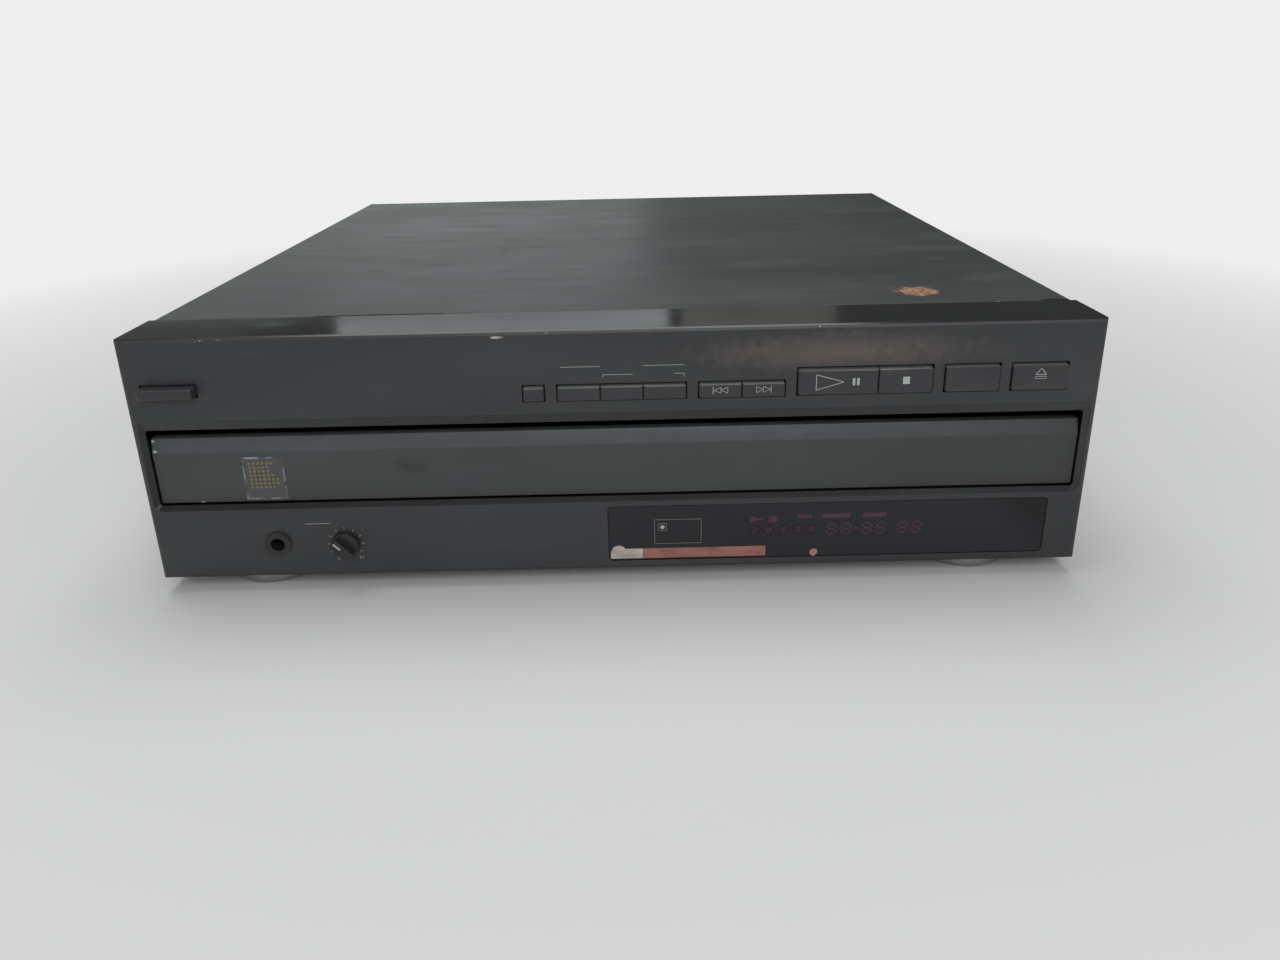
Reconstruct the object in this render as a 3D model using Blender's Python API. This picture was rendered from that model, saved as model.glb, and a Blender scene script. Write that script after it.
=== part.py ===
"""Five-disc player with a carousel drawer, closed, standing on four feet.

X runs along the front, Y runs from the front to the back and Z runs up.
The origin is on the ground below the middle of the player. Lengths are metres.
"""
import math

import bmesh
import bpy
from mathutils import Matrix, Vector

# Overall sizes
WIDTH = 0.430
LOWER_BAND = 0.0373
FOOT_LIFT = 0.008
REAR_ROOM = 0.0365
KNOB_PROUD = 0.007
SOCKET_PROUD = 0.009
GAP = 0.0003
OVERRUN = 0.002
MERGE = 0.000001
SMOOTH_ANGLE = math.radians(40)

# Front panel: one moulding that wraps back over the top and the sides
PANEL_DEPTH = 0.031
PANEL_FACE = 0.003
PANEL_WALL = 0.0022
PANEL_LIP = 0.006
PANEL_ROUND = 0.0016
POST_RADIUS = 0.003

# Recess around the drawer front, measured down from the top of the panel
RECESS_TOP = 0.0432
RECESS_HEIGHT = 0.0375
RECESS_SIDE = 0.0046
RECESS_BEVEL = 0.002
RECESS_TOP_BEVEL = 0.0048
RECESS_BEVEL_DEPTH = 0.002
RECESS_CORNER = 0.0015

# Top cover and rear panel
COVER_SHEET = 0.001
COVER_INSET = 0.0003
COVER_DROP = 0.0004
COVER_ROUND = 0.0015
COVER_RETURN = 0.009
COVER_HEM = 0.0016
REAR_SHEET = 0.0012
SCREW_HEAD_RADIUS = 0.0035
SCREW_HEAD_HEIGHT = 0.0015
SCREW_RADIUS = 0.0016
SCREW_LENGTH = 0.008
SCREW_INSET = 0.025

# Bottom chassis
CHASSIS_LIFT = 0.001
CHASSIS_SHEET = 0.0012
FLANGE_OVER_DRAWER = 0.016
STANDOFF_RADIUS = 0.003
STANDOFF_HEIGHT = 0.0055

# Feet
FOOT_RADIUS = 0.0225
FOOT_PAD_RADIUS = 0.020
FOOT_TOP_RADIUS = 0.021
FOOT_CHAMFER = 0.0015
FOOT_RECESS_RADIUS = 0.008
FOOT_RECESS_DEPTH = 0.004
FOOT_INSET = 0.045
FRONT_FOOT_BACK = 0.028
REAR_FOOT_FORWARD = 0.040

# Drawer front, and the room around it in the recess
DRAWER_FRONT_FOOT = 0.0007
DRAWER_FRONT_GAP = 0.005
DRAWER_FRONT_SIDE = 0.0005
DRAWER_FRONT_BACK = 0.003
DRAWER_FRONT_THICK = 0.006
DRAWER_SLOPE_HEIGHT = 0.0068
DRAWER_SLOPE_DEPTH = 0.0016
DRAWER_TRAVEL = 0.270

# Drawer tray
TRAY_SHOULDER = 0.0279
TRAY_LIFT = 0.004
TRAY_FLOOR = 0.0025
TRAY_HEIGHT = 0.0155
TRAY_WALL = 0.0025
TRAY_BORDER = 0.0001
PAN_RADIUS = 0.069
PAN_FLOOR = 0.002
POST_HUB_RADIUS = 0.006
POST_HUB_HEIGHT = 0.0135
TONGUE_LIFT = 0.0053
TONGUE_HEIGHT = 0.004
TONGUE_WIDTH = 0.0053
PICKUP_SLOT = 0.040

# Drawer rails
RAIL_WIDTH = 0.0129
RAIL_CLEARANCE = 0.0006
RAIL_HEIGHT = 0.014
RAIL_START = 0.036
RAIL_GROOVE_SPARE = 0.0003

# Carousel
DISC_COUNT = 5
CAROUSEL_CLEARANCE = 0.0025
CAROUSEL_RIM = 0.002
WELL_LAND = 0.0014
WELL_DEPTH = 0.006
WELL_WEB = 0.002
SMALL_WELL_RADIUS = 0.0405
SMALL_WELL_DEPTH = 0.0008
RING_HEIGHT = 0.0052
RING_MODULE = 0.0015
RING_TEETH = 64
RING_WIDTH = 0.006
SLEEVE_WALL = 0.005
CAP_RADIUS = 0.022
CAP_HEIGHT = 0.0055
CAP_RIM = 0.0015
CAP_CROWN_SHARE = 0.8

# Table gear and its flat motor in the sunken pan
TABLE_TEETH = 12
TABLE_GEAR_HEIGHT = 0.004
TABLE_MOTOR_RADIUS = 0.0095
TABLE_MOTOR_FLANGE = 0.0018
TABLE_MOTOR_LEDGE = 0.0015
SHAFT_RADIUS = 0.001
SHAFT_BORE = 0.0013

# Loading train, on the mechanism deck
RACK_MODULE = 0.0015
RACK_INSET = 0.0504
RACK_BODY = 0.004
RACK_START = 0.058
RACK_SPARE = 0.018
PINION_TEETH = 14
BIG_TEETH = 36
SMALL_TEETH = 12
TRAIN_MODULE = 0.001
LOAD_Y = 0.066
BIG_GEAR_HEIGHT = 0.005
PULLEY_HEIGHT = 0.004
PULLEY_GROOVE = 0.0125
MOTOR_GROOVE = 0.003
PULLEY_RIM = 0.0015
BELT_THICK = 0.0012
BELT_HEIGHT = 0.002
BELT_REACH = 0.040
LOAD_MOTOR_RADIUS = 0.012
GEAR_POST_RADIUS = 0.0025
GEAR_STEP = 0.0015
GEAR_DROP = 0.002

# Gear tooth shape, as shares of the module or of the tooth pitch
ADDENDUM_SHARE = 0.85
DEDENDUM_SHARE = 1.1
TIP_SHARE = 0.22
ROOT_SHARE = 0.54

# Mechanism deck
DECK_SHEET = 0.002
DECK_LEFT = 0.055
DECK_BEYOND_RACK = 0.017
DECK_FRONT = 0.046
DECK_TAIL = 0.006

# Pickup unit, measured with its frame level
LIFT_ANGLE = math.radians(13)
HINGE_TO_BACK = 0.017
HINGE_DROP = 0.004
HINGE_RADIUS = 0.002
HINGE_BEAM = 0.005
HINGE_BEAM_DROP = 0.002
EAR_INNER = 0.043
EAR_THICK = 0.004
EAR_HALF = 0.004
FRAME_HALF_WIDTH = 0.040
FRAME_SHEET = 0.003
FRAME_RISE = 0.002
FRAME_AHEAD = 0.0149
WINDOW_HALF = 0.028
WINDOW_START = 0.014
WINDOW_END = 0.008
SPINDLE_MOTOR_RADIUS = 0.012
SPINDLE_MOTOR_HEIGHT = 0.0067
PLATFORM_RADIUS = 0.015
PLATFORM_THICK = 0.0025
PLATFORM_OVER_DRAWER = 0.019
PLATFORM_HUB = 0.005
CONE_RADIUS = 0.0075
CONE_TIP = 0.005
CONE_HEIGHT = 0.002

# Sled, rod, lens and sled gear
SLED_TRAVEL = 0.034
LENS_PARK = 0.024
SLED_LEFT = 0.026
SLED_RIGHT = 0.022
SLED_BELOW = 0.004
SLED_HEIGHT = 0.008
SLED_FRONT = 0.009
SLED_BACK = 0.006
TOWER_HALF = 0.013
TOWER_FRONT = 0.008
TOWER_BACK = 0.005
TOWER_STEP = 0.0045
LENS_FLOAT = 0.001
LENS_RADIUS = 0.0038
LENS_TOP_RADIUS = 0.0022
LENS_HEIGHT = 0.0015
LENS_STEM_RADIUS = 0.0018
LENS_STEM = 0.004
ROD_X = 0.022
ROD_RADIUS = 0.0015
LUG = 0.003
LUG_WIDTH = 0.003
SLED_RACK_LINE = 0.025
SLED_RACK_SPARE = 0.006
SLED_RACK_HEIGHT = 0.0034
SLED_GEAR_TEETH = 16
SLED_GEAR_Y = 0.002
SHELF_SHEET = 0.0015
SHELF_SIDE = 0.002
SHELF_HALF = 0.010
SHELF_INNER = 0.027
SLED_MOTOR_RADIUS = 0.0075
SLED_MOTOR_HEIGHT = 0.007

# Lift slider
SLIDER_SHEET = 0.002
SLIDER_AHEAD = 0.003
SLIDER_TRAVEL = 0.040
SLIDER_OVER_DRAWER = 0.002
SLIDER_MARGIN = 0.004
SLIDER_SLOT_SPARE = 0.0007
LIFT_PIN_RADIUS = 0.002
LIFT_PIN_RISE = 0.0005
LIFT_PIN_LENGTH = 0.009
RIB_HEIGHT = 0.0018
RIB_THICK = 0.0025
RIB_HALF = 0.052

# Clamp bridge and puck
BRIDGE_HALF = 0.030
BRIDGE_SHEET = 0.0015
BRIDGE_OVER_CAP = 0.0006
BRIDGE_EDGE = 0.0055
BRIDGE_FOOT = 0.010
BRIDGE_HOLE = 0.016
PUCK_RADIUS = 0.0145
PUCK_FLANGE = 0.020
PUCK_FLANGE_THICK = 0.0022
PUCK_DROP = 0.0035
PUCK_RECESS_RADIUS = 0.0085
PUCK_RECESS = 0.003

# Push buttons: tables give left, right, top and bottom, down from the panel's top
SMALL_BUTTON_TOP = 0.0252
SMALL_BUTTON_BOTTOM = 0.0323
LARGE_BUTTON_TOP = 0.0196
LARGE_BUTTON_BOTTOM = 0.0320
TIME_FROM_RIGHT = 0.2548
TIME_WIDTH = 0.0092
MODE_FROM_RIGHT = 0.2397
MODE_WIDTH = 0.0189
SKIP_FROM_RIGHT = 0.1773
SKIP_WIDTH = 0.0189
PLAY_FROM_RIGHT = 0.1338
PLAY_WIDTH = 0.0354
STOP_WIDTH = 0.0239
DISC_FROM_RIGHT = 0.069
DISC_WIDTH = 0.024
OPEN_FROM_RIGHT = 0.0397
OPEN_WIDTH = 0.0245
POWER_FROM_LEFT = 0.008
POWER_WIDTH = 0.024
POWER_TOP = 0.0214
POWER_HEIGHT = 0.0053
BUTTON_MARGIN = 0.0005
BUTTON_PROUD = 0.0015
BUTTON_FLANGE = 0.0012
BUTTON_FLANGE_THICK = 0.0017
BUTTON_ROUND = 0.0005
BUTTON_STEM = 0.004
BUTTON_TRAVEL = 0.0012
POWER_PROUD = 0.005
POWER_TRAVEL = 0.0035

# Boards behind the panel
BOARD_SHEET = 0.0016
BOARD_POST_INSET = 0.006
BUTTON_BOARD_BACK = 0.014
BUTTON_BOARD_SPARE = 0.0052
BUTTON_BOARD_INSET = 0.010
BUTTON_BOARD_DOWN = 0.006
BUTTON_BOARD_HEIGHT = 0.030
KEY_SWITCH = 0.006
KEY_SWITCH_HEIGHT = 0.004
POWER_SWITCH_WIDTH = 0.016
POWER_SWITCH_DEPTH = 0.028
POWER_SWITCH_HEIGHT = 0.012
POWER_SWITCH_BACK = 0.012

# Display
WINDOW_WIDTH = 0.2035
WINDOW_FROM_RIGHT = 0.016
WINDOW_BELOW = 0.0046
WINDOW_HEIGHT = 0.0284
WINDOW_CORNER = 0.002
WINDOW_SINK = 0.0002
WINDOW_FLANGE = 0.0015
WINDOW_FLANGE_THICK = 0.0015
TUBE_INSET = 0.0625
TUBE_WIDTH = 0.090
TUBE_HEIGHT = 0.018
DISPLAY_BOARD_SPARE = 0.0005
DISPLAY_BOARD_BELOW = 0.0001
DISPLAY_BOARD_HEIGHT = 0.0298
DISPLAY_BACK = 0.011

# Level knob and headphone socket on the face
KNOB_FROM_LEFT = 0.0881
KNOB_BELOW = 0.0206
KNOB_RADIUS = 0.0064
KNOB_SKIRT = 0.0025
KNOB_RIDGE_WIDTH = 0.0038
KNOB_RIDGE_LENGTH = 0.0112
KNOB_POINTER_ANGLE = math.radians(45)
KNOB_SHAFT = 0.003
BUSH_WALL = 0.0012
POT_SIZE = 0.012
POT_DEPTH = 0.009
JACK_FROM_LEFT = 0.0568
JACK_BELOW = 0.0198
JACK_COLLAR = 0.0061
JACK_COLLAR_THICK = 0.001
JACK_BARREL = 0.005
JACK_BORE = 0.0033
JACK_DEPTH = 0.016
JACK_BODY = 0.013
JACK_BODY_DEPTH = 0.018

# Main board and transformer
MAIN_INSET = 0.025
MAIN_TO_DECK = 0.005
MAIN_FRONT = 0.060
MAIN_BACK = 0.240
STANDOFF_INSET = 0.007
CHIP_LONG = 0.024
CHIP_HEIGHT = 0.004
CAN_RADIUS = 0.006
CAN_HEIGHT = 0.010
SINK_LENGTH = 0.040
SINK_THICK = 0.003
TRANSFORMER_INSET = 0.020
TRANSFORMER_WIDTH = 0.060
TRANSFORMER_FROM_REAR = 0.067
TRANSFORMER_DEPTH = 0.050
TRANSFORMER_HEIGHT = 0.033
TRANSFORMER_BASE = 0.002
COIL_INSET = 0.010
COIL_BULGE = 0.006

# Rear sockets and cord gland
LINE_INSET = 0.065
LINE_HEIGHT = 0.030
LINE_BODY_WIDTH = 0.030
LINE_BODY_HEIGHT = 0.012
LINE_BODY_DEPTH = 0.014
LINE_PLATE_MARGIN = 0.002
LINE_PLATE = 0.0018
LINE_SPREAD = 0.007
LINE_SLEEVE = 0.0041
LINE_BORE = 0.0017
LINE_BORE_DEPTH = 0.010
GLAND_INSET = 0.045
GLAND_HEIGHT = 0.026
GLAND_FLANGE = 0.009
GLAND_FLANGE_THICK = 0.0022
GLAND_BODY = 0.007
GLAND_BORE = 0.0034
GLAND_DEPTH = 0.008

# Number of flats on round shapes
COARSE = 10
ROUND = 16
FINE = 24
LARGE = 56

# Places worked out from the sizes above
HALF_WIDTH = WIDTH / 2
COVER_HALF = HALF_WIDTH - COVER_INSET
FLANGE_HALF = COVER_HALF - COVER_SHEET - GAP
RAIL_OUTER = FLANGE_HALF - CHASSIS_SHEET - GAP
RAIL_INNER = RAIL_OUTER - RAIL_WIDTH
TRAY_HALF_WIDTH = RAIL_INNER - RAIL_CLEARANCE
TRAY_POCKET_RADIUS = TRAY_HALF_WIDTH - TRAY_SHOULDER
TRAY_HALF_DEPTH = TRAY_POCKET_RADIUS + TRAY_WALL + TRAY_BORDER
TRAY_BEHIND_FACE = DRAWER_FRONT_BACK + DRAWER_FRONT_THICK + GAP
DEPTH = TRAY_BEHIND_FACE + TRAY_HALF_DEPTH * 2 + REAR_ROOM
CAROUSEL_RADIUS = TRAY_POCKET_RADIUS - CAROUSEL_CLEARANCE
WELL_SPREAD = math.sin(math.pi / DISC_COUNT)
WELL_RADIUS = (((CAROUSEL_RADIUS - CAROUSEL_RIM) * WELL_SPREAD - WELL_LAND / 2)
               / (1 + WELL_SPREAD))
WELL_CIRCLE = CAROUSEL_RADIUS - CAROUSEL_RIM - WELL_RADIUS
RACK_LINE = TRAY_HALF_WIDTH - RACK_INSET
RACK_LENGTH = DRAWER_TRAVEL + RACK_SPARE
FACE_Y = -(DEPTH + SOCKET_PROUD - KNOB_PROUD) / 2
BACK_Y = FACE_Y + DEPTH
PANEL_TOP = FOOT_LIFT + LOWER_BAND + RECESS_HEIGHT + RECESS_TOP
PANEL_BACK_Y = FACE_Y + PANEL_DEPTH
FACE_BACK_Y = FACE_Y + PANEL_FACE
COVER_TOP = PANEL_TOP - COVER_DROP
COVER_FRONT_Y = PANEL_BACK_Y + GAP
REAR_Y = BACK_Y - COVER_SHEET - GAP
CHASSIS_Z = FOOT_LIFT + CHASSIS_LIFT
FLOOR_Z = CHASSIS_Z + CHASSIS_SHEET
DECK_Z = FLOOR_Z + GAP
DECK_TOP = DECK_Z + DECK_SHEET
RECESS_HALF = HALF_WIDTH - RECESS_SIDE
RECESS_TOP_Z = PANEL_TOP - RECESS_TOP
RECESS_BOTTOM_Z = RECESS_TOP_Z - RECESS_HEIGHT
DRAWER_BOTTOM = RECESS_BOTTOM_Z + DRAWER_FRONT_FOOT
DRAWER_FRONT_HEIGHT = RECESS_HEIGHT - DRAWER_FRONT_FOOT - DRAWER_FRONT_GAP
FLANGE_HEIGHT = DRAWER_BOTTOM + FLANGE_OVER_DRAWER - CHASSIS_Z
HINGE_HEIGHT = DRAWER_BOTTOM - HINGE_DROP
PLATFORM_TOP = DRAWER_BOTTOM + PLATFORM_OVER_DRAWER
TOWER_TOP = PLATFORM_TOP - TOWER_STEP
SLIDER_TOP = DRAWER_BOTTOM + SLIDER_OVER_DRAWER
DRAWER_FACE_Y = FACE_Y + DRAWER_FRONT_BACK
TRAY_FRONT_Y = FACE_Y + TRAY_BEHIND_FACE
CENTRE_Y = TRAY_FRONT_Y + TRAY_HALF_DEPTH
TRAY_Z = DRAWER_BOTTOM + TRAY_LIFT
TRAY_FLOOR_Z = TRAY_Z + TRAY_FLOOR
TRAY_TOP = TRAY_Z + TRAY_HEIGHT
PAN_Z = DRAWER_BOTTOM + PAN_FLOOR
RAIL_TOP = TRAY_Z + RAIL_HEIGHT
RING_RADIUS = RING_MODULE * RING_TEETH / 2
RING_Z = PAN_Z + GAP + TABLE_MOTOR_FLANGE + GAP
WEB_Z = RING_Z + RING_HEIGHT
WELL_Z = WEB_Z + WELL_WEB
CAROUSEL_TOP = WELL_Z + WELL_DEPTH
TABLE_RADIUS = RING_MODULE * TABLE_TEETH / 2
TABLE_X = -(RING_RADIUS + TABLE_RADIUS)
PINION_RADIUS = RACK_MODULE * PINION_TEETH / 2
BIG_RADIUS = TRAIN_MODULE * BIG_TEETH / 2
SMALL_RADIUS = TRAIN_MODULE * SMALL_TEETH / 2
LOAD_X = RACK_LINE - PINION_RADIUS
PULLEY_X = LOAD_X - BIG_RADIUS - SMALL_RADIUS
MOTOR_X = PULLEY_X - BELT_REACH
TRAIN_Y = FACE_Y + LOAD_Y
PINION_TOP = TRAY_Z - GAP
BIG_GEAR_TOP = DRAWER_BOTTOM - GEAR_DROP
BIG_GEAR_Z = BIG_GEAR_TOP - BIG_GEAR_HEIGHT
PULLEY_TOP = BIG_GEAR_Z - GEAR_STEP
PULLEY_Z = PULLEY_TOP - PULLEY_HEIGHT
SPINDLE_Y = CENTRE_Y + WELL_CIRCLE
HINGE_Y = BACK_Y - HINGE_TO_BACK
DECK_RIGHT = RACK_LINE + DECK_BEYOND_RACK
DECK_BACK_Y = HINGE_Y + DECK_TAIL
FRAME_Z = HINGE_HEIGHT + FRAME_RISE
FRAME_TOP = FRAME_Z + FRAME_SHEET
FRAME_FRONT_Y = SPINDLE_Y - FRAME_AHEAD
LENS_Y = SPINDLE_Y + LENS_PARK
WINDOW_FRONT_Y = SPINDLE_Y + WINDOW_START
WINDOW_BACK_Y = HINGE_Y - WINDOW_END
SLED_Z = HINGE_HEIGHT - SLED_BELOW
SLED_GEAR_RADIUS = TRAIN_MODULE * SLED_GEAR_TEETH / 2
SLED_GEAR_X = SLED_RACK_LINE + SLED_GEAR_RADIUS
SLED_WHEEL_Y = LENS_Y + SLED_GEAR_Y
SLED_RACK_TOP = FRAME_Z - GAP
SLED_RACK_LENGTH = SLED_TRAVEL + SLED_RACK_SPARE
SLED_RACK_Z = SLED_RACK_TOP - SLED_RACK_HEIGHT
SHELF_TOP = SLED_RACK_Z - GAP
SLIDER_BACK_Y = FRAME_FRONT_Y - SLIDER_AHEAD
SLIDER_ARM = HINGE_Y - SLIDER_BACK_Y + SLIDER_SHEET / 2
PIN_HIGH_Z = HINGE_HEIGHT + LIFT_PIN_RISE
PIN_LOW_Z = (HINGE_HEIGHT - SLIDER_ARM * math.tan(LIFT_ANGLE)
             + LIFT_PIN_RISE / math.cos(LIFT_ANGLE))
BRIDGE_Z = CAROUSEL_TOP + GAP + CAP_HEIGHT + BRIDGE_OVER_CAP
BRIDGE_TOP = BRIDGE_Z + BRIDGE_SHEET
PUCK_BOTTOM = BRIDGE_Z - PUCK_DROP
SCREW_SPREAD = HALF_WIDTH - SCREW_INSET
FOOT_SPREAD = HALF_WIDTH - FOOT_INSET
TIME_LEFT = HALF_WIDTH - TIME_FROM_RIGHT
MODE_LEFT = HALF_WIDTH - MODE_FROM_RIGHT
SKIP_LEFT = HALF_WIDTH - SKIP_FROM_RIGHT
PLAY_LEFT = HALF_WIDTH - PLAY_FROM_RIGHT
DISC_LEFT = HALF_WIDTH - DISC_FROM_RIGHT
OPEN_LEFT = HALF_WIDTH - OPEN_FROM_RIGHT
POWER_LEFT = POWER_FROM_LEFT - HALF_WIDTH
BUTTON_BOARD_LEFT = TIME_LEFT - BUTTON_BOARD_SPARE
BUTTON_BOARD_RIGHT = HALF_WIDTH - BUTTON_BOARD_INSET
BUTTON_BOARD_TOP = PANEL_TOP - BUTTON_BOARD_DOWN
BUTTON_BOARD_BOTTOM = BUTTON_BOARD_TOP - BUTTON_BOARD_HEIGHT
WINDOW_RIGHT = HALF_WIDTH - WINDOW_FROM_RIGHT
WINDOW_LEFT = WINDOW_RIGHT - WINDOW_WIDTH
WINDOW_TOP_Z = RECESS_BOTTOM_Z - WINDOW_BELOW
WINDOW_BOTTOM_Z = WINDOW_TOP_Z - WINDOW_HEIGHT
TUBE_LEFT = WINDOW_LEFT + TUBE_INSET
DISPLAY_BOARD_LEFT = WINDOW_LEFT - DISPLAY_BOARD_SPARE
DISPLAY_BOARD_RIGHT = WINDOW_RIGHT
DISPLAY_BOARD_BOTTOM = WINDOW_BOTTOM_Z - DISPLAY_BOARD_BELOW
DISPLAY_BOARD_TOP = DISPLAY_BOARD_BOTTOM + DISPLAY_BOARD_HEIGHT
MAIN_LEFT = MAIN_INSET - HALF_WIDTH
MAIN_RIGHT = -(DECK_LEFT + MAIN_TO_DECK)
TRANSFORMER_LEFT = TRANSFORMER_INSET - HALF_WIDTH
TRANSFORMER_Y = BACK_Y - TRANSFORMER_FROM_REAR
LINE_X = HALF_WIDTH - LINE_INSET
GLAND_X = GLAND_INSET - HALF_WIDTH
KNOB_X = KNOB_FROM_LEFT - HALF_WIDTH
JACK_X = JACK_FROM_LEFT - HALF_WIDTH
KNOB_Z = RECESS_BOTTOM_Z - KNOB_BELOW
JACK_Z = RECESS_BOTTOM_Z - JACK_BELOW


def box(low, high):
    """Closed box between two opposite corners."""
    bm = bmesh.new()
    size = [b - a for a, b in zip(low, high)]
    middle = [(a + b) / 2 for a, b in zip(low, high)]
    matrix = Matrix.Translation(middle) @ Matrix.Diagonal((*size, 1))
    bmesh.ops.create_cube(bm, size=1, matrix=matrix)
    return bm


def bevel_where(bm, test, offset, segments=1):
    """Round the edges whose two ends both pass the test."""
    edges = [edge for edge in bm.edges if all(test(vert.co) for vert in edge.verts)]
    bmesh.ops.bevel(bm, geom=edges, offset=offset, segments=segments, profile=0.5, affect='EDGES')
    return bm


AXIS_TURNS = {
    "X": Matrix.Rotation(math.radians(90), 4, 'Y'),
    "Y": Matrix.Rotation(math.radians(-90), 4, 'X'),
    "Z": Matrix.Identity(4),
}


def turned(centre, profile, axis="Z", steps=ROUND):
    """Turn a profile of (radius, place along the axis) round an axis through the centre."""
    bm = bmesh.new()
    verts = [bm.verts.new((radius, 0, height)) for radius, height in profile]
    pairs = list(zip(verts, verts[1:]))
    if profile[0][0] > 0:
        pairs.append((verts[-1], verts[0]))
    edges = [bm.edges.new(pair) for pair in pairs]
    bmesh.ops.spin(bm, geom=verts + edges, cent=(0, 0, 0), axis=(0, 0, 1),
                   angle=math.tau, steps=steps, use_merge=True)
    bmesh.ops.remove_doubles(bm, verts=bm.verts, dist=MERGE)
    place = Matrix.Translation(centre) @ AXIS_TURNS[axis]
    bmesh.ops.transform(bm, matrix=place, verts=bm.verts)
    bmesh.ops.recalc_face_normals(bm, faces=bm.faces)
    return bm


def rod(centre, radius, low, high, axis="Z", steps=ROUND):
    """Plain round bar from low to high along the axis."""
    return turned(centre, [(0, high), (radius, high), (radius, low), (0, low)], axis, steps)


def tube(centre, inner, outer, low, high, axis="Z", steps=ROUND):
    """Round bar with a bore right through it."""
    profile = [(inner, high), (outer, high), (outer, low), (inner, low)]
    return turned(centre, profile, axis, steps)


def prism(outline, low, high, axis="Z"):
    """Extrude an outline along one axis; the outline's pairs are the other two, in order."""
    order = {"X": (2, 0, 1), "Y": (0, 2, 1), "Z": (0, 1, 2)}[axis]
    bm = bmesh.new()
    corners = []
    for first, second in outline:
        triple = (first, second, low)
        corners.append(bm.verts.new([triple[index] for index in order]))
    face = bm.faces.new(corners)
    grown = bmesh.ops.extrude_face_region(bm, geom=[face])
    moved = [item for item in grown["geom"] if isinstance(item, bmesh.types.BMVert)]
    shift = [high - low if letter == axis else 0 for letter in "XYZ"]
    bmesh.ops.translate(bm, vec=shift, verts=moved)
    bmesh.ops.recalc_face_normals(bm, faces=bm.faces)
    return bm


def loft(rings):
    """Skin between closed rings of equal count, capped at both ends."""
    bm = bmesh.new()
    loops = [[bm.verts.new(point) for point in ring] for ring in rings]
    count = len(loops[0])
    for near, far in zip(loops, loops[1:]):
        for index in range(count):
            after = (index + 1) % count
            bm.faces.new((near[index], near[after], far[after], far[index]))
    bm.faces.new(loops[0])
    bm.faces.new(loops[-1])
    bmesh.ops.recalc_face_normals(bm, faces=bm.faces)
    return bm


def together(shapes):
    """Several separate closed shapes as one mesh."""
    bm = bmesh.new()
    for shape in shapes:
        mesh = bpy.data.meshes.new("part of a set")
        shape.to_mesh(mesh)
        shape.free()
        bm.from_mesh(mesh)
        bpy.data.meshes.remove(mesh)
    return bm


def rounded_outline(left, right, bottom, top, radius, steps=3):
    """Corner points of a rectangle with round corners, going round once."""
    points = []
    corners = ((right, top, 0), (left, top, 90), (left, bottom, 180), (right, bottom, 270))
    for x, z, start in corners:
        middle_x = x - math.copysign(radius, x - (left + right) / 2)
        middle_z = z - math.copysign(radius, z - (bottom + top) / 2)
        for step in range(steps + 1):
            angle = math.radians(start + 90 * step / steps)
            points.append((middle_x + radius * math.cos(angle),
                           middle_z + radius * math.sin(angle)))
    return points


def gear_outline(centre, teeth, module, turn=0):
    """Outline of a spur gear with straight flanks; one tooth points along the turn."""
    pitch = math.tau / teeth
    radius = module * teeth / 2
    tip = radius + ADDENDUM_SHARE * module
    root = radius - DEDENDUM_SHARE * module
    corner_shares = ((-ROOT_SHARE, root), (-TIP_SHARE, tip), (TIP_SHARE, tip), (ROOT_SHARE, root))
    points = []
    for tooth in range(teeth):
        for share, reach in corner_shares:
            angle = turn + (tooth + share / 2) * pitch
            points.append((centre[0] + reach * math.cos(angle), centre[1] + reach * math.sin(angle)))
    return points


def rack_outline(line, back, gap_y, start, end, module, side):
    """Outline of a rack along Y with a tooth gap centred at gap_y; side is where the teeth point."""
    pitch = math.pi * module
    tip = line + side * ADDENDUM_SHARE * module
    root = line - side * DEDENDUM_SHARE * module
    first = math.ceil((start - gap_y) / pitch + (ROOT_SHARE - 1) / 2)
    last = math.floor((end - gap_y) / pitch - (ROOT_SHARE + 1) / 2)
    corner_shares = ((-ROOT_SHARE, root), (-TIP_SHARE, tip), (TIP_SHARE, tip), (ROOT_SHARE, root))
    points = [(back, start), (root, start)]
    for tooth in range(first, last + 1):
        middle = gap_y + (tooth + 1 / 2) * pitch
        points += [(reach, middle + share / 2 * pitch) for share, reach in corner_shares]
    return points + [(root, end), (back, end)]


def paint(name, colour, roughness, metallic=0.0):
    """Principled material with one plain colour."""
    material = bpy.data.materials.new(name)
    material.use_nodes = True
    shader = material.node_tree.nodes["Principled BSDF"]
    shader.inputs["Base Color"].default_value = (*colour, 1)
    shader.inputs["Roughness"].default_value = roughness
    shader.inputs["Metallic"].default_value = metallic
    return material


def raw_object(name, bm):
    """Turn a bmesh into an object in the scene."""
    mesh = bpy.data.meshes.new(name)
    bm.to_mesh(mesh)
    bm.free()
    made = bpy.data.objects.new(name, mesh)
    bpy.context.collection.objects.link(made)
    return made


def group(name, place, tilt=0):
    """Empty that carries the pieces of one moving group."""
    empty = bpy.data.objects.new(name, None)
    bpy.context.collection.objects.link(empty)
    empty.location = place
    empty.rotation_euler = (tilt, 0, 0)
    return empty


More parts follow.
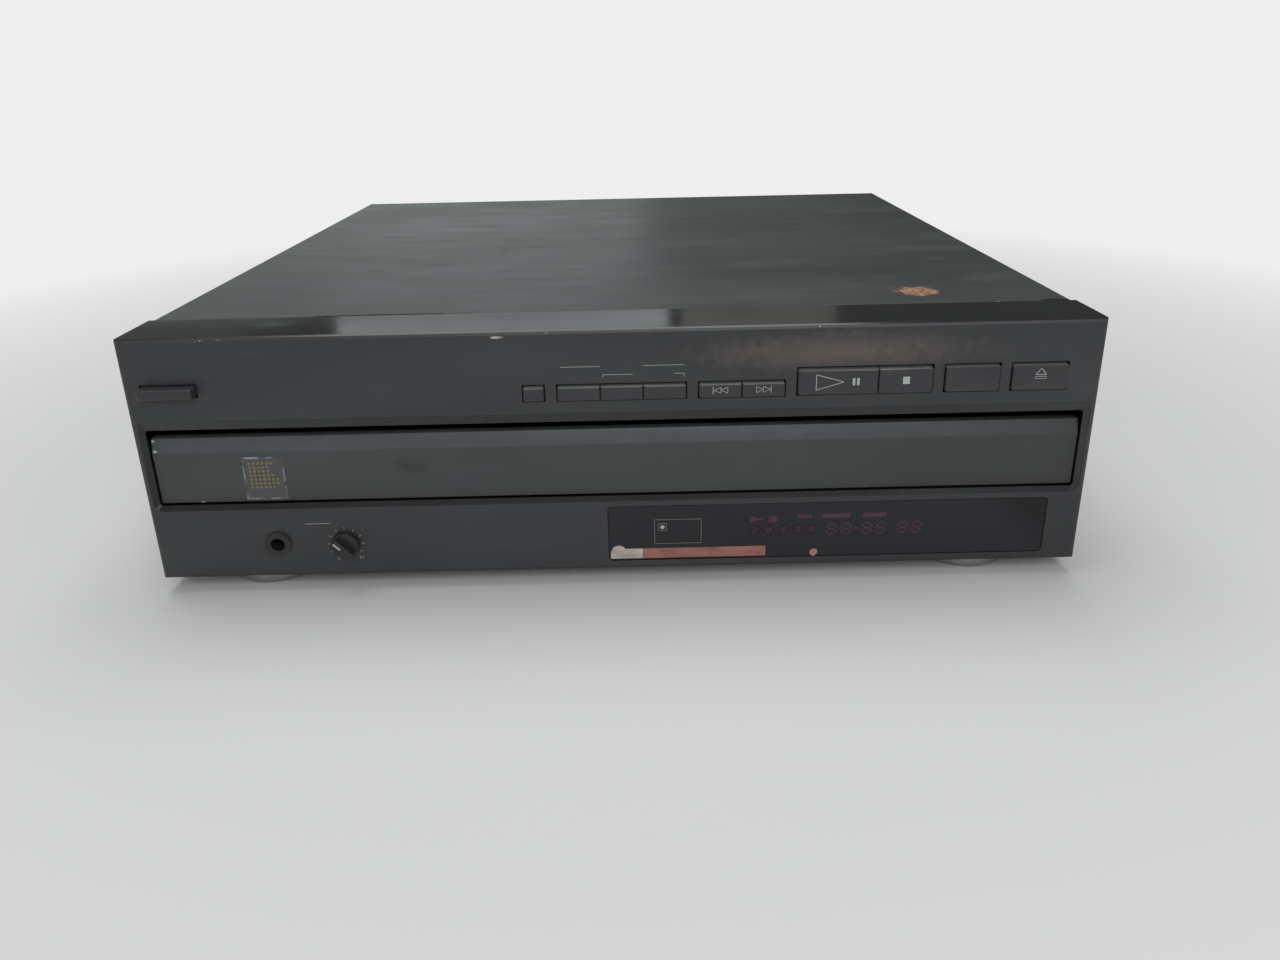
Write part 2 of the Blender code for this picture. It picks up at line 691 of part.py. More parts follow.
def piece(name, material, base, steps=(), origin=(0, 0, 0), parent=None):
    """Named object from a base shape and a list of shapes to add or cut, in order."""
    made = raw_object(name, base)
    made.data.shade_smooth()
    made.data.set_sharp_from_angle(angle=SMOOTH_ANGLE)
    made.data.transform(Matrix.Translation(-Vector(origin)))
    made.data.materials.append(material)
    made.parent = parent
    made.location = Vector(origin) - (parent.location if parent else Vector())
    for number, (operation, shape) in enumerate(steps):
        helper = raw_object(f"{name}_{operation.lower()}_{number}", shape)
        helper.hide_render = True
        helper.display_type = 'WIRE'
        helper.data.shade_smooth()
        helper.data.set_sharp_from_angle(angle=SMOOTH_ANGLE)
        helper.data.transform(Matrix.Translation(-Vector(origin)))
        helper.parent = made
        modifier = made.modifiers.new(f"{operation.lower()} {number}", 'BOOLEAN')
        modifier.operation = operation
        modifier.object = helper
        modifier.solver = 'EXACT'
    return made


ADD = 'UNION'
CUT = 'DIFFERENCE'


# Buttons: name, left, width, top and height down from the panel's top, travel
def button_table():
    """Every button as (name, left, right, top, bottom, proud, travel)."""
    small = (SMALL_BUTTON_TOP, SMALL_BUTTON_BOTTOM)
    large = (LARGE_BUTTON_TOP, LARGE_BUTTON_BOTTOM)
    rows = [("time_button", TIME_LEFT, TIME_WIDTH, small)]
    for place, word in enumerate(("program", "shuffle", "continue")):
        rows.append((f"{word}_button", MODE_LEFT + place * MODE_WIDTH, MODE_WIDTH, small))
    for place, word in enumerate(("previous", "next")):
        rows.append((f"{word}_button", SKIP_LEFT + place * SKIP_WIDTH, SKIP_WIDTH, small))
    rows.append(("play_button", PLAY_LEFT, PLAY_WIDTH, large))
    rows.append(("stop_button", PLAY_LEFT + PLAY_WIDTH, STOP_WIDTH, large))
    rows.append(("disc_skip_button", DISC_LEFT, DISC_WIDTH, large))
    rows.append(("open_close_button", OPEN_LEFT, OPEN_WIDTH, large))
    table = [(name, left, left + width, span[0], span[1], BUTTON_PROUD, BUTTON_TRAVEL)
             for name, left, width, span in rows]
    table.append(("power_button", POWER_LEFT, POWER_LEFT + POWER_WIDTH, POWER_TOP,
                  POWER_TOP + POWER_HEIGHT, POWER_PROUD, POWER_TRAVEL))
    return table


def button_holes():
    """Left, right, top and bottom of the hole round each group of buttons."""
    small = (SMALL_BUTTON_TOP, SMALL_BUTTON_BOTTOM)
    large = (LARGE_BUTTON_TOP, LARGE_BUTTON_BOTTOM)
    return [
        (TIME_LEFT, TIME_LEFT + TIME_WIDTH, *small),
        (MODE_LEFT, MODE_LEFT + 3 * MODE_WIDTH, *small),
        (SKIP_LEFT, SKIP_LEFT + 2 * SKIP_WIDTH, *small),
        (PLAY_LEFT, PLAY_LEFT + PLAY_WIDTH + STOP_WIDTH, *large),
        (DISC_LEFT, DISC_LEFT + DISC_WIDTH, *large),
        (OPEN_LEFT, OPEN_LEFT + OPEN_WIDTH, *large),
        (POWER_LEFT, POWER_LEFT + POWER_WIDTH, POWER_TOP, POWER_TOP + POWER_HEIGHT),
    ]


def recess_cutter():
    """Sloped frame round the drawer that runs on straight through the face."""
    rings = []
    for depth in (-OVERRUN, RECESS_BEVEL_DEPTH, PANEL_FACE + OVERRUN):
        share = max(RECESS_BEVEL_DEPTH - depth, 0) / RECESS_BEVEL_DEPTH
        grow = RECESS_BEVEL * share
        outline = rounded_outline(-RECESS_HALF - grow, RECESS_HALF + grow, RECESS_BOTTOM_Z - grow,
                                  RECESS_TOP_Z + RECESS_TOP_BEVEL * share, RECESS_CORNER + grow)
        rings.append([(x, FACE_Y + depth, z) for x, z in outline])
    return loft(rings)


def panel_posts():
    """Round posts behind the face that carry the two boards and the power switch."""
    posts = []
    board_x = (BUTTON_BOARD_LEFT + BOARD_POST_INSET, BUTTON_BOARD_RIGHT - BOARD_POST_INSET)
    board_z = BUTTON_BOARD_TOP - BOARD_POST_INSET
    for x in board_x:
        posts.append(((x, board_z), BUTTON_BOARD_BACK))
    display_x = (DISPLAY_BOARD_LEFT - BOARD_POST_INSET, DISPLAY_BOARD_RIGHT + BOARD_POST_INSET)
    display_z = (DISPLAY_BOARD_TOP + DISPLAY_BOARD_BOTTOM) / 2
    posts.append(((display_x[0], display_z), DISPLAY_BACK))
    posts.append(((display_x[1], display_z), DISPLAY_BACK))
    power_x = POWER_LEFT + POWER_WIDTH / 2
    power_z = PANEL_TOP - POWER_TOP - POWER_HEIGHT / 2
    aside = POWER_HEIGHT / 2 + BUTTON_FLANGE + GAP + POST_RADIUS
    posts.append(((power_x, power_z + aside), POWER_SWITCH_BACK))
    posts.append(((power_x, power_z - aside), POWER_SWITCH_BACK))
    return [rod((x, 0, z), POST_RADIUS, FACE_BACK_Y - PANEL_FACE / 2, FACE_Y + back - GAP, "Y", COARSE)
            for (x, z), back in posts]


def make_front_panel(material):
    """Face, top strip, side returns and lower lip in one moulding."""
    base = box((-HALF_WIDTH, FACE_Y, FOOT_LIFT), (HALF_WIDTH, PANEL_BACK_Y, PANEL_TOP))
    behind = PANEL_BACK_Y - MERGE
    bevel_where(base, lambda co: co.y < behind, PANEL_ROUND, 2)
    inner = HALF_WIDTH - PANEL_WALL
    cavity = box((-inner, FACE_BACK_Y, FOOT_LIFT + PANEL_WALL),
                 (inner, PANEL_BACK_Y + OVERRUN, PANEL_TOP - PANEL_WALL))
    below = box((-inner, FACE_Y + PANEL_LIP, FOOT_LIFT - OVERRUN),
                (inner, PANEL_BACK_Y + OVERRUN, FOOT_LIFT + 2 * PANEL_WALL))
    steps = [(CUT, cavity), (CUT, below)]
    steps += [(ADD, post) for post in panel_posts()]
    steps.append((CUT, recess_cutter()))
    front = FACE_Y - OVERRUN
    back = FACE_BACK_Y + OVERRUN
    for left, right, top, bottom in button_holes():
        low = (left - BUTTON_MARGIN, front, PANEL_TOP - bottom - BUTTON_MARGIN)
        high = (right + BUTTON_MARGIN, back, PANEL_TOP - top + BUTTON_MARGIN)
        steps.append((CUT, box(low, high)))
    window = rounded_outline(WINDOW_LEFT, WINDOW_RIGHT, WINDOW_BOTTOM_Z,
                             WINDOW_TOP_Z, WINDOW_CORNER)
    steps.append((CUT, prism(window, front, back, "Y")))
    steps.append((CUT, rod((JACK_X, 0, JACK_Z), JACK_BARREL + GAP, front, back, "Y")))
    bush = KNOB_SHAFT + GAP + BUSH_WALL + GAP
    steps.append((CUT, rod((KNOB_X, 0, KNOB_Z), bush, front, back, "Y")))
    piece("front_panel", material, base, steps)


def make_display(window_paint, tube_paint, board_paint):
    """Smoked window, the display tube behind it and their board."""
    bottom = WINDOW_BOTTOM_Z
    top = WINDOW_TOP_Z
    block = rounded_outline(WINDOW_LEFT + GAP, WINDOW_RIGHT - GAP, bottom + GAP, top - GAP,
                            WINDOW_CORNER - GAP)
    flange_front = FACE_BACK_Y + GAP
    base = prism(block, FACE_Y + WINDOW_SINK, flange_front + WINDOW_FLANGE_THICK / 2, "Y")
    flange = box((WINDOW_LEFT - WINDOW_FLANGE, flange_front, bottom - WINDOW_FLANGE),
                 (WINDOW_RIGHT + WINDOW_FLANGE, flange_front + WINDOW_FLANGE_THICK, top + WINDOW_FLANGE))
    piece("display_window", window_paint, base, [(ADD, flange)])
    window_back = flange_front + WINDOW_FLANGE_THICK
    middle = (DISPLAY_BOARD_TOP + DISPLAY_BOARD_BOTTOM) / 2
    tube_back = FACE_Y + DISPLAY_BACK - GAP
    glass = box((TUBE_LEFT, window_back + GAP, middle - TUBE_HEIGHT / 2),
                (TUBE_LEFT + TUBE_WIDTH, tube_back, middle + TUBE_HEIGHT / 2))
    piece("display_tube", tube_paint, glass)
    ear = 2 * BOARD_POST_INSET
    board = box((DISPLAY_BOARD_LEFT - ear, FACE_Y + DISPLAY_BACK, DISPLAY_BOARD_BOTTOM),
                (DISPLAY_BOARD_RIGHT + ear, FACE_Y + DISPLAY_BACK + BOARD_SHEET, DISPLAY_BOARD_TOP))
    piece("display_board", board_paint, board)


def make_button_board(material, switch_paint):
    """Board with one key switch behind each button, and the latching power switch."""
    front = FACE_Y + BUTTON_BOARD_BACK
    base = box((BUTTON_BOARD_LEFT, front, BUTTON_BOARD_BOTTOM),
               (BUTTON_BOARD_RIGHT, front + BOARD_SHEET, BUTTON_BOARD_TOP))
    steps = []
    for name, left, right, top, bottom, _, _ in button_table():
        x = (left + right) / 2
        z = PANEL_TOP - (top + bottom) / 2
        if name == "power_button":
            low = (x - POWER_SWITCH_WIDTH / 2, FACE_Y + POWER_SWITCH_BACK, z - POWER_SWITCH_HEIGHT / 2)
            high = (x + POWER_SWITCH_WIDTH / 2, low[1] + POWER_SWITCH_DEPTH, z + POWER_SWITCH_HEIGHT / 2)
            piece("power_switch", switch_paint, box(low, high))
        else:
            low = (x - KEY_SWITCH / 2, front - KEY_SWITCH_HEIGHT, z - KEY_SWITCH / 2)
            high = (x + KEY_SWITCH / 2, front + BOARD_SHEET / 2, z + KEY_SWITCH / 2)
            steps.append((ADD, box(low, high)))
    piece("button_board", material, base, steps)


def make_buttons(material):
    """Caps that pass through the face, with flanges above and below behind it."""
    edges = {hole[0] for hole in button_holes()} | {hole[1] for hole in button_holes()}
    for name, left, right, top, bottom, proud, travel in button_table():
        trim_left = 0 if left in edges else GAP / 2
        trim_right = 0 if right in edges else GAP / 2
        low_z = PANEL_TOP - bottom
        high_z = PANEL_TOP - top
        body_back = FACE_BACK_Y + GAP + BUTTON_FLANGE_THICK + BUTTON_FLANGE / 2
        front = FACE_Y - proud
        cap = box((left + trim_left, front, low_z), (right - trim_right, body_back, high_z))
        bevel_where(cap, lambda co, y=front: co.y < y + MERGE, BUTTON_ROUND)
        flange = box((left + trim_left + GAP, FACE_BACK_Y + GAP, low_z - BUTTON_FLANGE),
                     (right - trim_right - GAP, FACE_BACK_Y + GAP + BUTTON_FLANGE_THICK,
                      high_z + BUTTON_FLANGE))
        switch_y = FACE_Y + (POWER_SWITCH_BACK if name == "power_button"
                             else BUTTON_BOARD_BACK - KEY_SWITCH_HEIGHT)
        x = (left + right) / 2
        z = (low_z + high_z) / 2
        stem = box((x - BUTTON_STEM / 2, body_back - BUTTON_FLANGE, z - BUTTON_STEM / 2),
                   (x + BUTTON_STEM / 2, switch_y - travel - GAP, z + BUTTON_STEM / 2))
        piece(name, material, cap, [(ADD, flange), (ADD, stem)], origin=(x, front, z))


def make_chassis(material):
    """Bottom plate with upright side flanges and standoffs for the main board."""
    plate_half = HALF_WIDTH - PANEL_WALL - GAP
    front = FACE_Y + PANEL_LIP + GAP
    back = REAR_Y - REAR_SHEET - GAP
    base = box((-plate_half, front, CHASSIS_Z), (plate_half, back, FLOOR_Z))
    steps = []
    for side in (-1, 1):
        across = sorted((side * (FLANGE_HALF - CHASSIS_SHEET), side * FLANGE_HALF))
        flange = box((across[0], COVER_FRONT_Y, CHASSIS_Z), (across[1], back, CHASSIS_Z + FLANGE_HEIGHT))
        steps.append((ADD, flange))
    for x, y in standoff_places():
        steps.append((ADD, rod((x, y, 0), STANDOFF_RADIUS, CHASSIS_Z + CHASSIS_SHEET / 2,
                               FLOOR_Z + STANDOFF_HEIGHT, "Z", COARSE)))
    piece("bottom_chassis", material, base, steps)


def standoff_places():
    """Centres of the four standoffs under the main board."""
    return [(x, FACE_Y + y) for x in (MAIN_LEFT + STANDOFF_INSET, MAIN_RIGHT - STANDOFF_INSET)
            for y in (MAIN_FRONT + STANDOFF_INSET, MAIN_BACK - STANDOFF_INSET)]


def make_cover(material, screw_paint):
    """Bent sheet over the top and both sides, with a return at the rear for the screws."""
    inner = COVER_HALF - COVER_SHEET
    bottom = FOOT_LIFT + COVER_HEM
    roof = COVER_TOP - COVER_SHEET
    outline = [(-COVER_HALF, bottom), (-COVER_HALF, COVER_TOP - COVER_ROUND),
               (-COVER_HALF + COVER_ROUND, COVER_TOP), (COVER_HALF - COVER_ROUND, COVER_TOP),
               (COVER_HALF, COVER_TOP - COVER_ROUND), (COVER_HALF, bottom),
               (inner, bottom), (inner, roof), (-inner, roof), (-inner, bottom)]
    base = prism(outline, COVER_FRONT_Y, BACK_Y, "Y")
    flap = box((-inner - COVER_SHEET / 2, BACK_Y - COVER_SHEET, COVER_TOP - COVER_RETURN),
               (inner + COVER_SHEET / 2, BACK_Y, roof + COVER_SHEET / 2))
    steps = [(ADD, flap)]
    z = COVER_TOP - COVER_SHEET - COVER_RETURN / 2 + COVER_SHEET / 2
    places = {"left": -SCREW_SPREAD, "middle": 0, "right": SCREW_SPREAD}
    hole = SCREW_RADIUS + GAP
    for x in places.values():
        steps.append((CUT, rod((x, 0, z), hole, BACK_Y - 2 * COVER_SHEET, BACK_Y + OVERRUN, "Y", COARSE)))
    piece("top_cover", material, base, steps)
    for word, x in places.items():
        head = BACK_Y + GAP
        profile = [(0, head + SCREW_HEAD_HEIGHT), (SCREW_HEAD_RADIUS - SCREW_HEAD_HEIGHT / 2,
                   head + SCREW_HEAD_HEIGHT), (SCREW_HEAD_RADIUS, head), (SCREW_RADIUS, head),
                   (SCREW_RADIUS, head - SCREW_LENGTH), (0, head - SCREW_LENGTH)]
        piece(f"cover_screw_{word}", screw_paint, turned((x, 0, z), profile, "Y", COARSE))
    make_rear_panel(material, [(x, z) for x in places.values()])


def make_rear_panel(material, screws):
    """Rear sheet inside the cover, with holes for the sockets, the gland and the screws."""
    half = FLANGE_HALF
    front = REAR_Y - REAR_SHEET
    base = box((-half, front, CHASSIS_Z), (half, REAR_Y, COVER_TOP - COVER_SHEET - GAP))
    steps = []
    for x, z in screws:
        steps.append((CUT, rod((x, 0, z), SCREW_RADIUS + GAP, front - OVERRUN, REAR_Y + OVERRUN,
                               "Y", COARSE)))
    wide = LINE_BODY_WIDTH / 2 + GAP
    high = LINE_BODY_HEIGHT / 2 + GAP
    steps.append((CUT, box((LINE_X - wide, front - OVERRUN, LINE_HEIGHT - high),
                           (LINE_X + wide, REAR_Y + OVERRUN, LINE_HEIGHT + high))))
    steps.append((CUT, rod((GLAND_X, 0, GLAND_HEIGHT), GLAND_BODY + GAP, front - OVERRUN,
                           REAR_Y + OVERRUN, "Y")))
    piece("rear_panel", material, base, steps)


def make_rear_fittings(plastic, gland_paint):
    """Pair of line sockets, and the gland where the cord would enter."""
    wide = LINE_BODY_WIDTH / 2
    high = LINE_BODY_HEIGHT / 2
    plate_y = REAR_Y + GAP
    margin = LINE_PLATE_MARGIN
    base = box((LINE_X - wide, REAR_Y - LINE_BODY_DEPTH, LINE_HEIGHT - high),
               (LINE_X + wide, plate_y + LINE_PLATE / 2, LINE_HEIGHT + high))
    plate = box((LINE_X - wide - margin, plate_y, LINE_HEIGHT - high - margin),
                (LINE_X + wide + margin, plate_y + LINE_PLATE, LINE_HEIGHT + high + margin))
    steps = [(ADD, plate)]
    tip = BACK_Y + SOCKET_PROUD
    for x in (LINE_X - LINE_SPREAD, LINE_X + LINE_SPREAD):
        steps.append((ADD, rod((x, 0, LINE_HEIGHT), LINE_SLEEVE, plate_y + LINE_PLATE / 2, tip, "Y")))
    for x in (LINE_X - LINE_SPREAD, LINE_X + LINE_SPREAD):
        steps.append((CUT, rod((x, 0, LINE_HEIGHT), LINE_BORE, tip - LINE_BORE_DEPTH, tip + OVERRUN,
                               "Y", COARSE)))
    piece("phono_sockets", plastic, base, steps)
    flange_y = REAR_Y + GAP
    flange_back = flange_y + GLAND_FLANGE_THICK
    inner = REAR_Y - GLAND_DEPTH
    profile = [(GLAND_BORE, flange_back), (GLAND_FLANGE, flange_back), (GLAND_FLANGE, flange_y),
               (GLAND_BODY, flange_y), (GLAND_BODY, inner), (GLAND_BORE, inner)]
    piece("cord_gland", gland_paint, turned((GLAND_X, 0, GLAND_HEIGHT), profile, "Y"))


def make_feet(material):
    """Four round feet with a chamfered pad and a small recess underneath."""
    top = CHASSIS_Z - GAP
    profile = [(0, top), (FOOT_TOP_RADIUS, top), (FOOT_RADIUS, top - FOOT_CHAMFER),
               (FOOT_RADIUS, FOOT_CHAMFER), (FOOT_PAD_RADIUS, 0), (FOOT_RECESS_RADIUS, 0),
               (FOOT_RECESS_RADIUS, FOOT_RECESS_DEPTH), (0, FOOT_RECESS_DEPTH)]
    rows = {"front": FACE_Y + FRONT_FOOT_BACK, "rear": BACK_Y - REAR_FOOT_FORWARD}
    for row, y in rows.items():
        for word, side in (("left", -1), ("right", 1)):
            x = side * FOOT_SPREAD
            piece(f"foot_{row}_{word}", material, turned((x, y, 0), profile, "Z", FINE),
                  origin=(x, y, 0))


def make_main_board(material, iron, winding):
    """Main board on its standoffs with a few large parts, and the power transformer."""
    low_z = FLOOR_Z + STANDOFF_HEIGHT + GAP
    top = low_z + BOARD_SHEET
    sunk = top - BOARD_SHEET / 2
    front = FACE_Y + MAIN_FRONT
    back = FACE_Y + MAIN_BACK
    base = box((MAIN_LEFT, front, low_z), (MAIN_RIGHT, back, top))
    middle = (MAIN_LEFT + MAIN_RIGHT) / 2
    deep = (front + back) / 2
    steps = []
    for place in (-1, 1):
        x = middle + place * CHIP_LONG
        steps.append((ADD, box((x - CHIP_LONG / 2, deep, sunk),
                               (x + CHIP_LONG / 2, deep + CHIP_LONG / 2, top + CHIP_HEIGHT))))
    for place in range(3):
        x = MAIN_LEFT + (2 + 3 * place) * 2 * CAN_RADIUS
        steps.append((ADD, rod((x, back - 3 * CAN_RADIUS, 0), CAN_RADIUS, sunk, top + CAN_HEIGHT,
                               "Z", COARSE)))
    sink_y = deep - CHIP_LONG
    steps.append((ADD, box((middle - SINK_LENGTH / 2, sink_y, sunk),
                           (middle + SINK_LENGTH / 2, sink_y + SINK_THICK, top + CAN_HEIGHT))))
    piece("main_board", material, base, steps)
    left = TRANSFORMER_LEFT
    right = left + TRANSFORMER_WIDTH
    near = TRANSFORMER_Y
    far = near + TRANSFORMER_DEPTH
    foot_z = FLOOR_Z + GAP
    plate = box((left, near, foot_z), (right, far, foot_z + TRANSFORMER_BASE))
    core = box((left + COIL_INSET, near + COIL_BULGE, foot_z + TRANSFORMER_BASE / 2),
               (right - COIL_INSET, far - COIL_BULGE, foot_z + TRANSFORMER_HEIGHT))
    coil = box((left + 2 * COIL_INSET, near + COIL_BULGE / 2, foot_z + COIL_BULGE),
               (right - 2 * COIL_INSET, far - COIL_BULGE / 2,
                foot_z + TRANSFORMER_HEIGHT - COIL_BULGE))
    piece("power_transformer", iron, plate, [(ADD, core), (ADD, coil)])


def make_face_fittings(metal, plastic, knob_paint):
    """Headphone socket, and the level knob with its potentiometer."""
    behind = FACE_BACK_Y + GAP
    collar_y = FACE_Y - GAP - JACK_COLLAR_THICK
    centre = (JACK_X, 0, JACK_Z)
    barrel_end = behind + JACK_BODY / 2
    profile = [(0, barrel_end), (JACK_BARREL, barrel_end), (JACK_BARREL, FACE_Y - GAP),
               (JACK_COLLAR, FACE_Y - GAP), (JACK_COLLAR, collar_y), (0, collar_y)]
    body = box((JACK_X - JACK_BODY / 2, behind, JACK_Z - JACK_BODY / 2),
               (JACK_X + JACK_BODY / 2, behind + JACK_BODY_DEPTH, JACK_Z + JACK_BODY / 2))
    bore = rod(centre, JACK_BORE, collar_y - OVERRUN, collar_y + JACK_DEPTH, "Y")
    piece("headphone_socket", metal, turned(centre, profile, "Y"), [(ADD, body), (CUT, bore)])

    shaft_bore = KNOB_SHAFT + GAP
    centre = (KNOB_X, 0, KNOB_Z)
    body = box((KNOB_X - POT_SIZE / 2, behind, KNOB_Z - POT_SIZE / 2),
               (KNOB_X + POT_SIZE / 2, behind + POT_DEPTH, KNOB_Z + POT_SIZE / 2))
    bush = rod(centre, shaft_bore + BUSH_WALL, FACE_Y + BUSH_WALL / 2, behind + POT_DEPTH / 2, "Y")
    hollow = rod(centre, shaft_bore, FACE_Y - OVERRUN, behind + POT_DEPTH * 2 / 3, "Y")
    piece("level_potentiometer", plastic, body, [(ADD, bush), (CUT, hollow)])

    skirt_back = FACE_Y - GAP
    base = rod(centre, KNOB_RADIUS, skirt_back - KNOB_SKIRT, skirt_back, "Y")
    ridge = box((-KNOB_RIDGE_WIDTH / 2, FACE_Y - KNOB_PROUD, -KNOB_RIDGE_LENGTH / 2),
                (KNOB_RIDGE_WIDTH / 2, skirt_back - KNOB_SKIRT / 2, KNOB_RIDGE_LENGTH / 2))
    turn = Matrix.Rotation(-KNOB_POINTER_ANGLE, 4, 'Y')
    bmesh.ops.transform(ridge, matrix=Matrix.Translation(centre) @ turn, verts=ridge.verts)
    shaft = rod(centre, KNOB_SHAFT, skirt_back - KNOB_SKIRT / 2, behind + POT_DEPTH / 2, "Y")
    piece("level_knob", knob_paint, base, [(ADD, ridge), (ADD, shaft)], origin=(KNOB_X, FACE_Y, KNOB_Z))


def make_rails(material):
    """Two grooved rails on the side flanges that carry the tray's tongues."""
    start = FACE_Y + RAIL_START
    end = CENTRE_Y + TRAY_HALF_DEPTH
    for word, side in (("left", -1), ("right", 1)):
        across = sorted((side * RAIL_INNER, side * RAIL_OUTER))
        base = box((across[0], start, TRAY_Z), (across[1], end, RAIL_TOP))
        groove_z = TRAY_Z + TONGUE_LIFT
        groove = sorted((side * (RAIL_INNER - OVERRUN),
                         side * (TRAY_HALF_WIDTH + TONGUE_WIDTH + RAIL_GROOVE_SPARE)))
        cut = box((groove[0], start - OVERRUN, groove_z - RAIL_GROOVE_SPARE),
                  (groove[1], end + OVERRUN, groove_z + TONGUE_HEIGHT + RAIL_GROOVE_SPARE))
        piece(f"{word}_drawer_rail", material, base, [(CUT, cut)])


def make_drawer_front(material, drawer):
    """Drawer front with its lighter sloped band along the top."""
    half = RECESS_HALF - DRAWER_FRONT_SIDE
    top = DRAWER_BOTTOM + DRAWER_FRONT_HEIGHT
    back = DRAWER_FACE_Y + DRAWER_FRONT_THICK
    outline = [(DRAWER_FACE_Y, DRAWER_BOTTOM), (DRAWER_FACE_Y, top - DRAWER_SLOPE_HEIGHT),
               (DRAWER_FACE_Y + DRAWER_SLOPE_DEPTH, top), (back, top), (back, DRAWER_BOTTOM)]
    base = prism(outline, -half, half, "X")
    piece("drawer_front", material, base, origin=(0, DRAWER_FACE_Y, DRAWER_BOTTOM), parent=drawer)


def corner_pocket(side):
    """Outline of the hollow under the tray, between its round wall and its outer walls."""
    reach_x = TRAY_HALF_WIDTH - TRAY_WALL
    reach_y = TRAY_HALF_DEPTH - TRAY_WALL
    ring = TRAY_POCKET_RADIUS + TRAY_WALL
    limit = math.asin(reach_y / ring)
    count = LARGE // 3
    points = []
    for step in range(count + 1):
        angle = -limit + 2 * limit * step / count
        points.append((side * ring * math.cos(angle), CENTRE_Y + ring * math.sin(angle)))
    return points + [(side * reach_x, CENTRE_Y + reach_y), (side * reach_x, CENTRE_Y - reach_y)]


def make_tray(material, drawer):
    """Tray with a round pocket, a sunken pan in the middle, a rack below and side tongues."""
    front = CENTRE_Y - TRAY_HALF_DEPTH
    back = CENTRE_Y + TRAY_HALF_DEPTH
    base = box((-TRAY_HALF_WIDTH, front, TRAY_Z), (TRAY_HALF_WIDTH, back, TRAY_TOP))
    centre = (0, CENTRE_Y, 0)
    pan = rod(centre, PAN_RADIUS + TRAY_WALL, DRAWER_BOTTOM, TRAY_Z + TRAY_FLOOR / 2, "Z", LARGE)
    post_top = PAN_Z + POST_HUB_HEIGHT
    hollow = [(0, post_top), (POST_HUB_RADIUS, post_top), (POST_HUB_RADIUS, PAN_Z), (PAN_RADIUS, PAN_Z),
              (PAN_RADIUS, TRAY_FLOOR_Z), (TRAY_POCKET_RADIUS, TRAY_FLOOR_Z),
              (TRAY_POCKET_RADIUS, TRAY_TOP + OVERRUN), (0, TRAY_TOP + OVERRUN)]
    steps = [(ADD, pan), (CUT, turned(centre, hollow, "Z", LARGE))]
    for side in (-1, 1):
        steps.append((CUT, prism(corner_pocket(side), TRAY_Z - OVERRUN, TRAY_TOP - TRAY_WALL)))
    slot_half = PICKUP_SLOT / 2
    slot = box((-slot_half, SPINDLE_Y - slot_half, TRAY_Z - OVERRUN),
               (slot_half, CENTRE_Y + TRAY_POCKET_RADIUS - TRAY_WALL, TRAY_FLOOR_Z + OVERRUN))
    steps.append((CUT, slot))
    motor_hole = rod((TABLE_X, CENTRE_Y, 0), TABLE_MOTOR_RADIUS + GAP, DRAWER_BOTTOM - OVERRUN,
                     PAN_Z + TRAY_FLOOR, "Z")
    steps.append((CUT, motor_hole))
    rack = rack_outline(RACK_LINE, RACK_LINE + RACK_BODY + RACK_MODULE, TRAIN_Y,
                        FACE_Y + RACK_START, FACE_Y + RACK_START + RACK_LENGTH, RACK_MODULE, -1)
    steps.append((ADD, prism(rack, DRAWER_BOTTOM, TRAY_Z + TRAY_FLOOR / 2)))
    for side in (-1, 1):
        across = sorted((side * (TRAY_HALF_WIDTH - TRAY_WALL / 2), side * (TRAY_HALF_WIDTH + TONGUE_WIDTH)))
        steps.append((ADD, box((across[0], front + RAIL_START, TRAY_Z + TONGUE_LIFT),
                               (across[1], back - TRAY_WALL, TRAY_Z + TONGUE_LIFT + TONGUE_HEIGHT))))
    piece("drawer_tray", material, base, steps, origin=(0, DRAWER_FACE_Y, DRAWER_BOTTOM), parent=drawer)


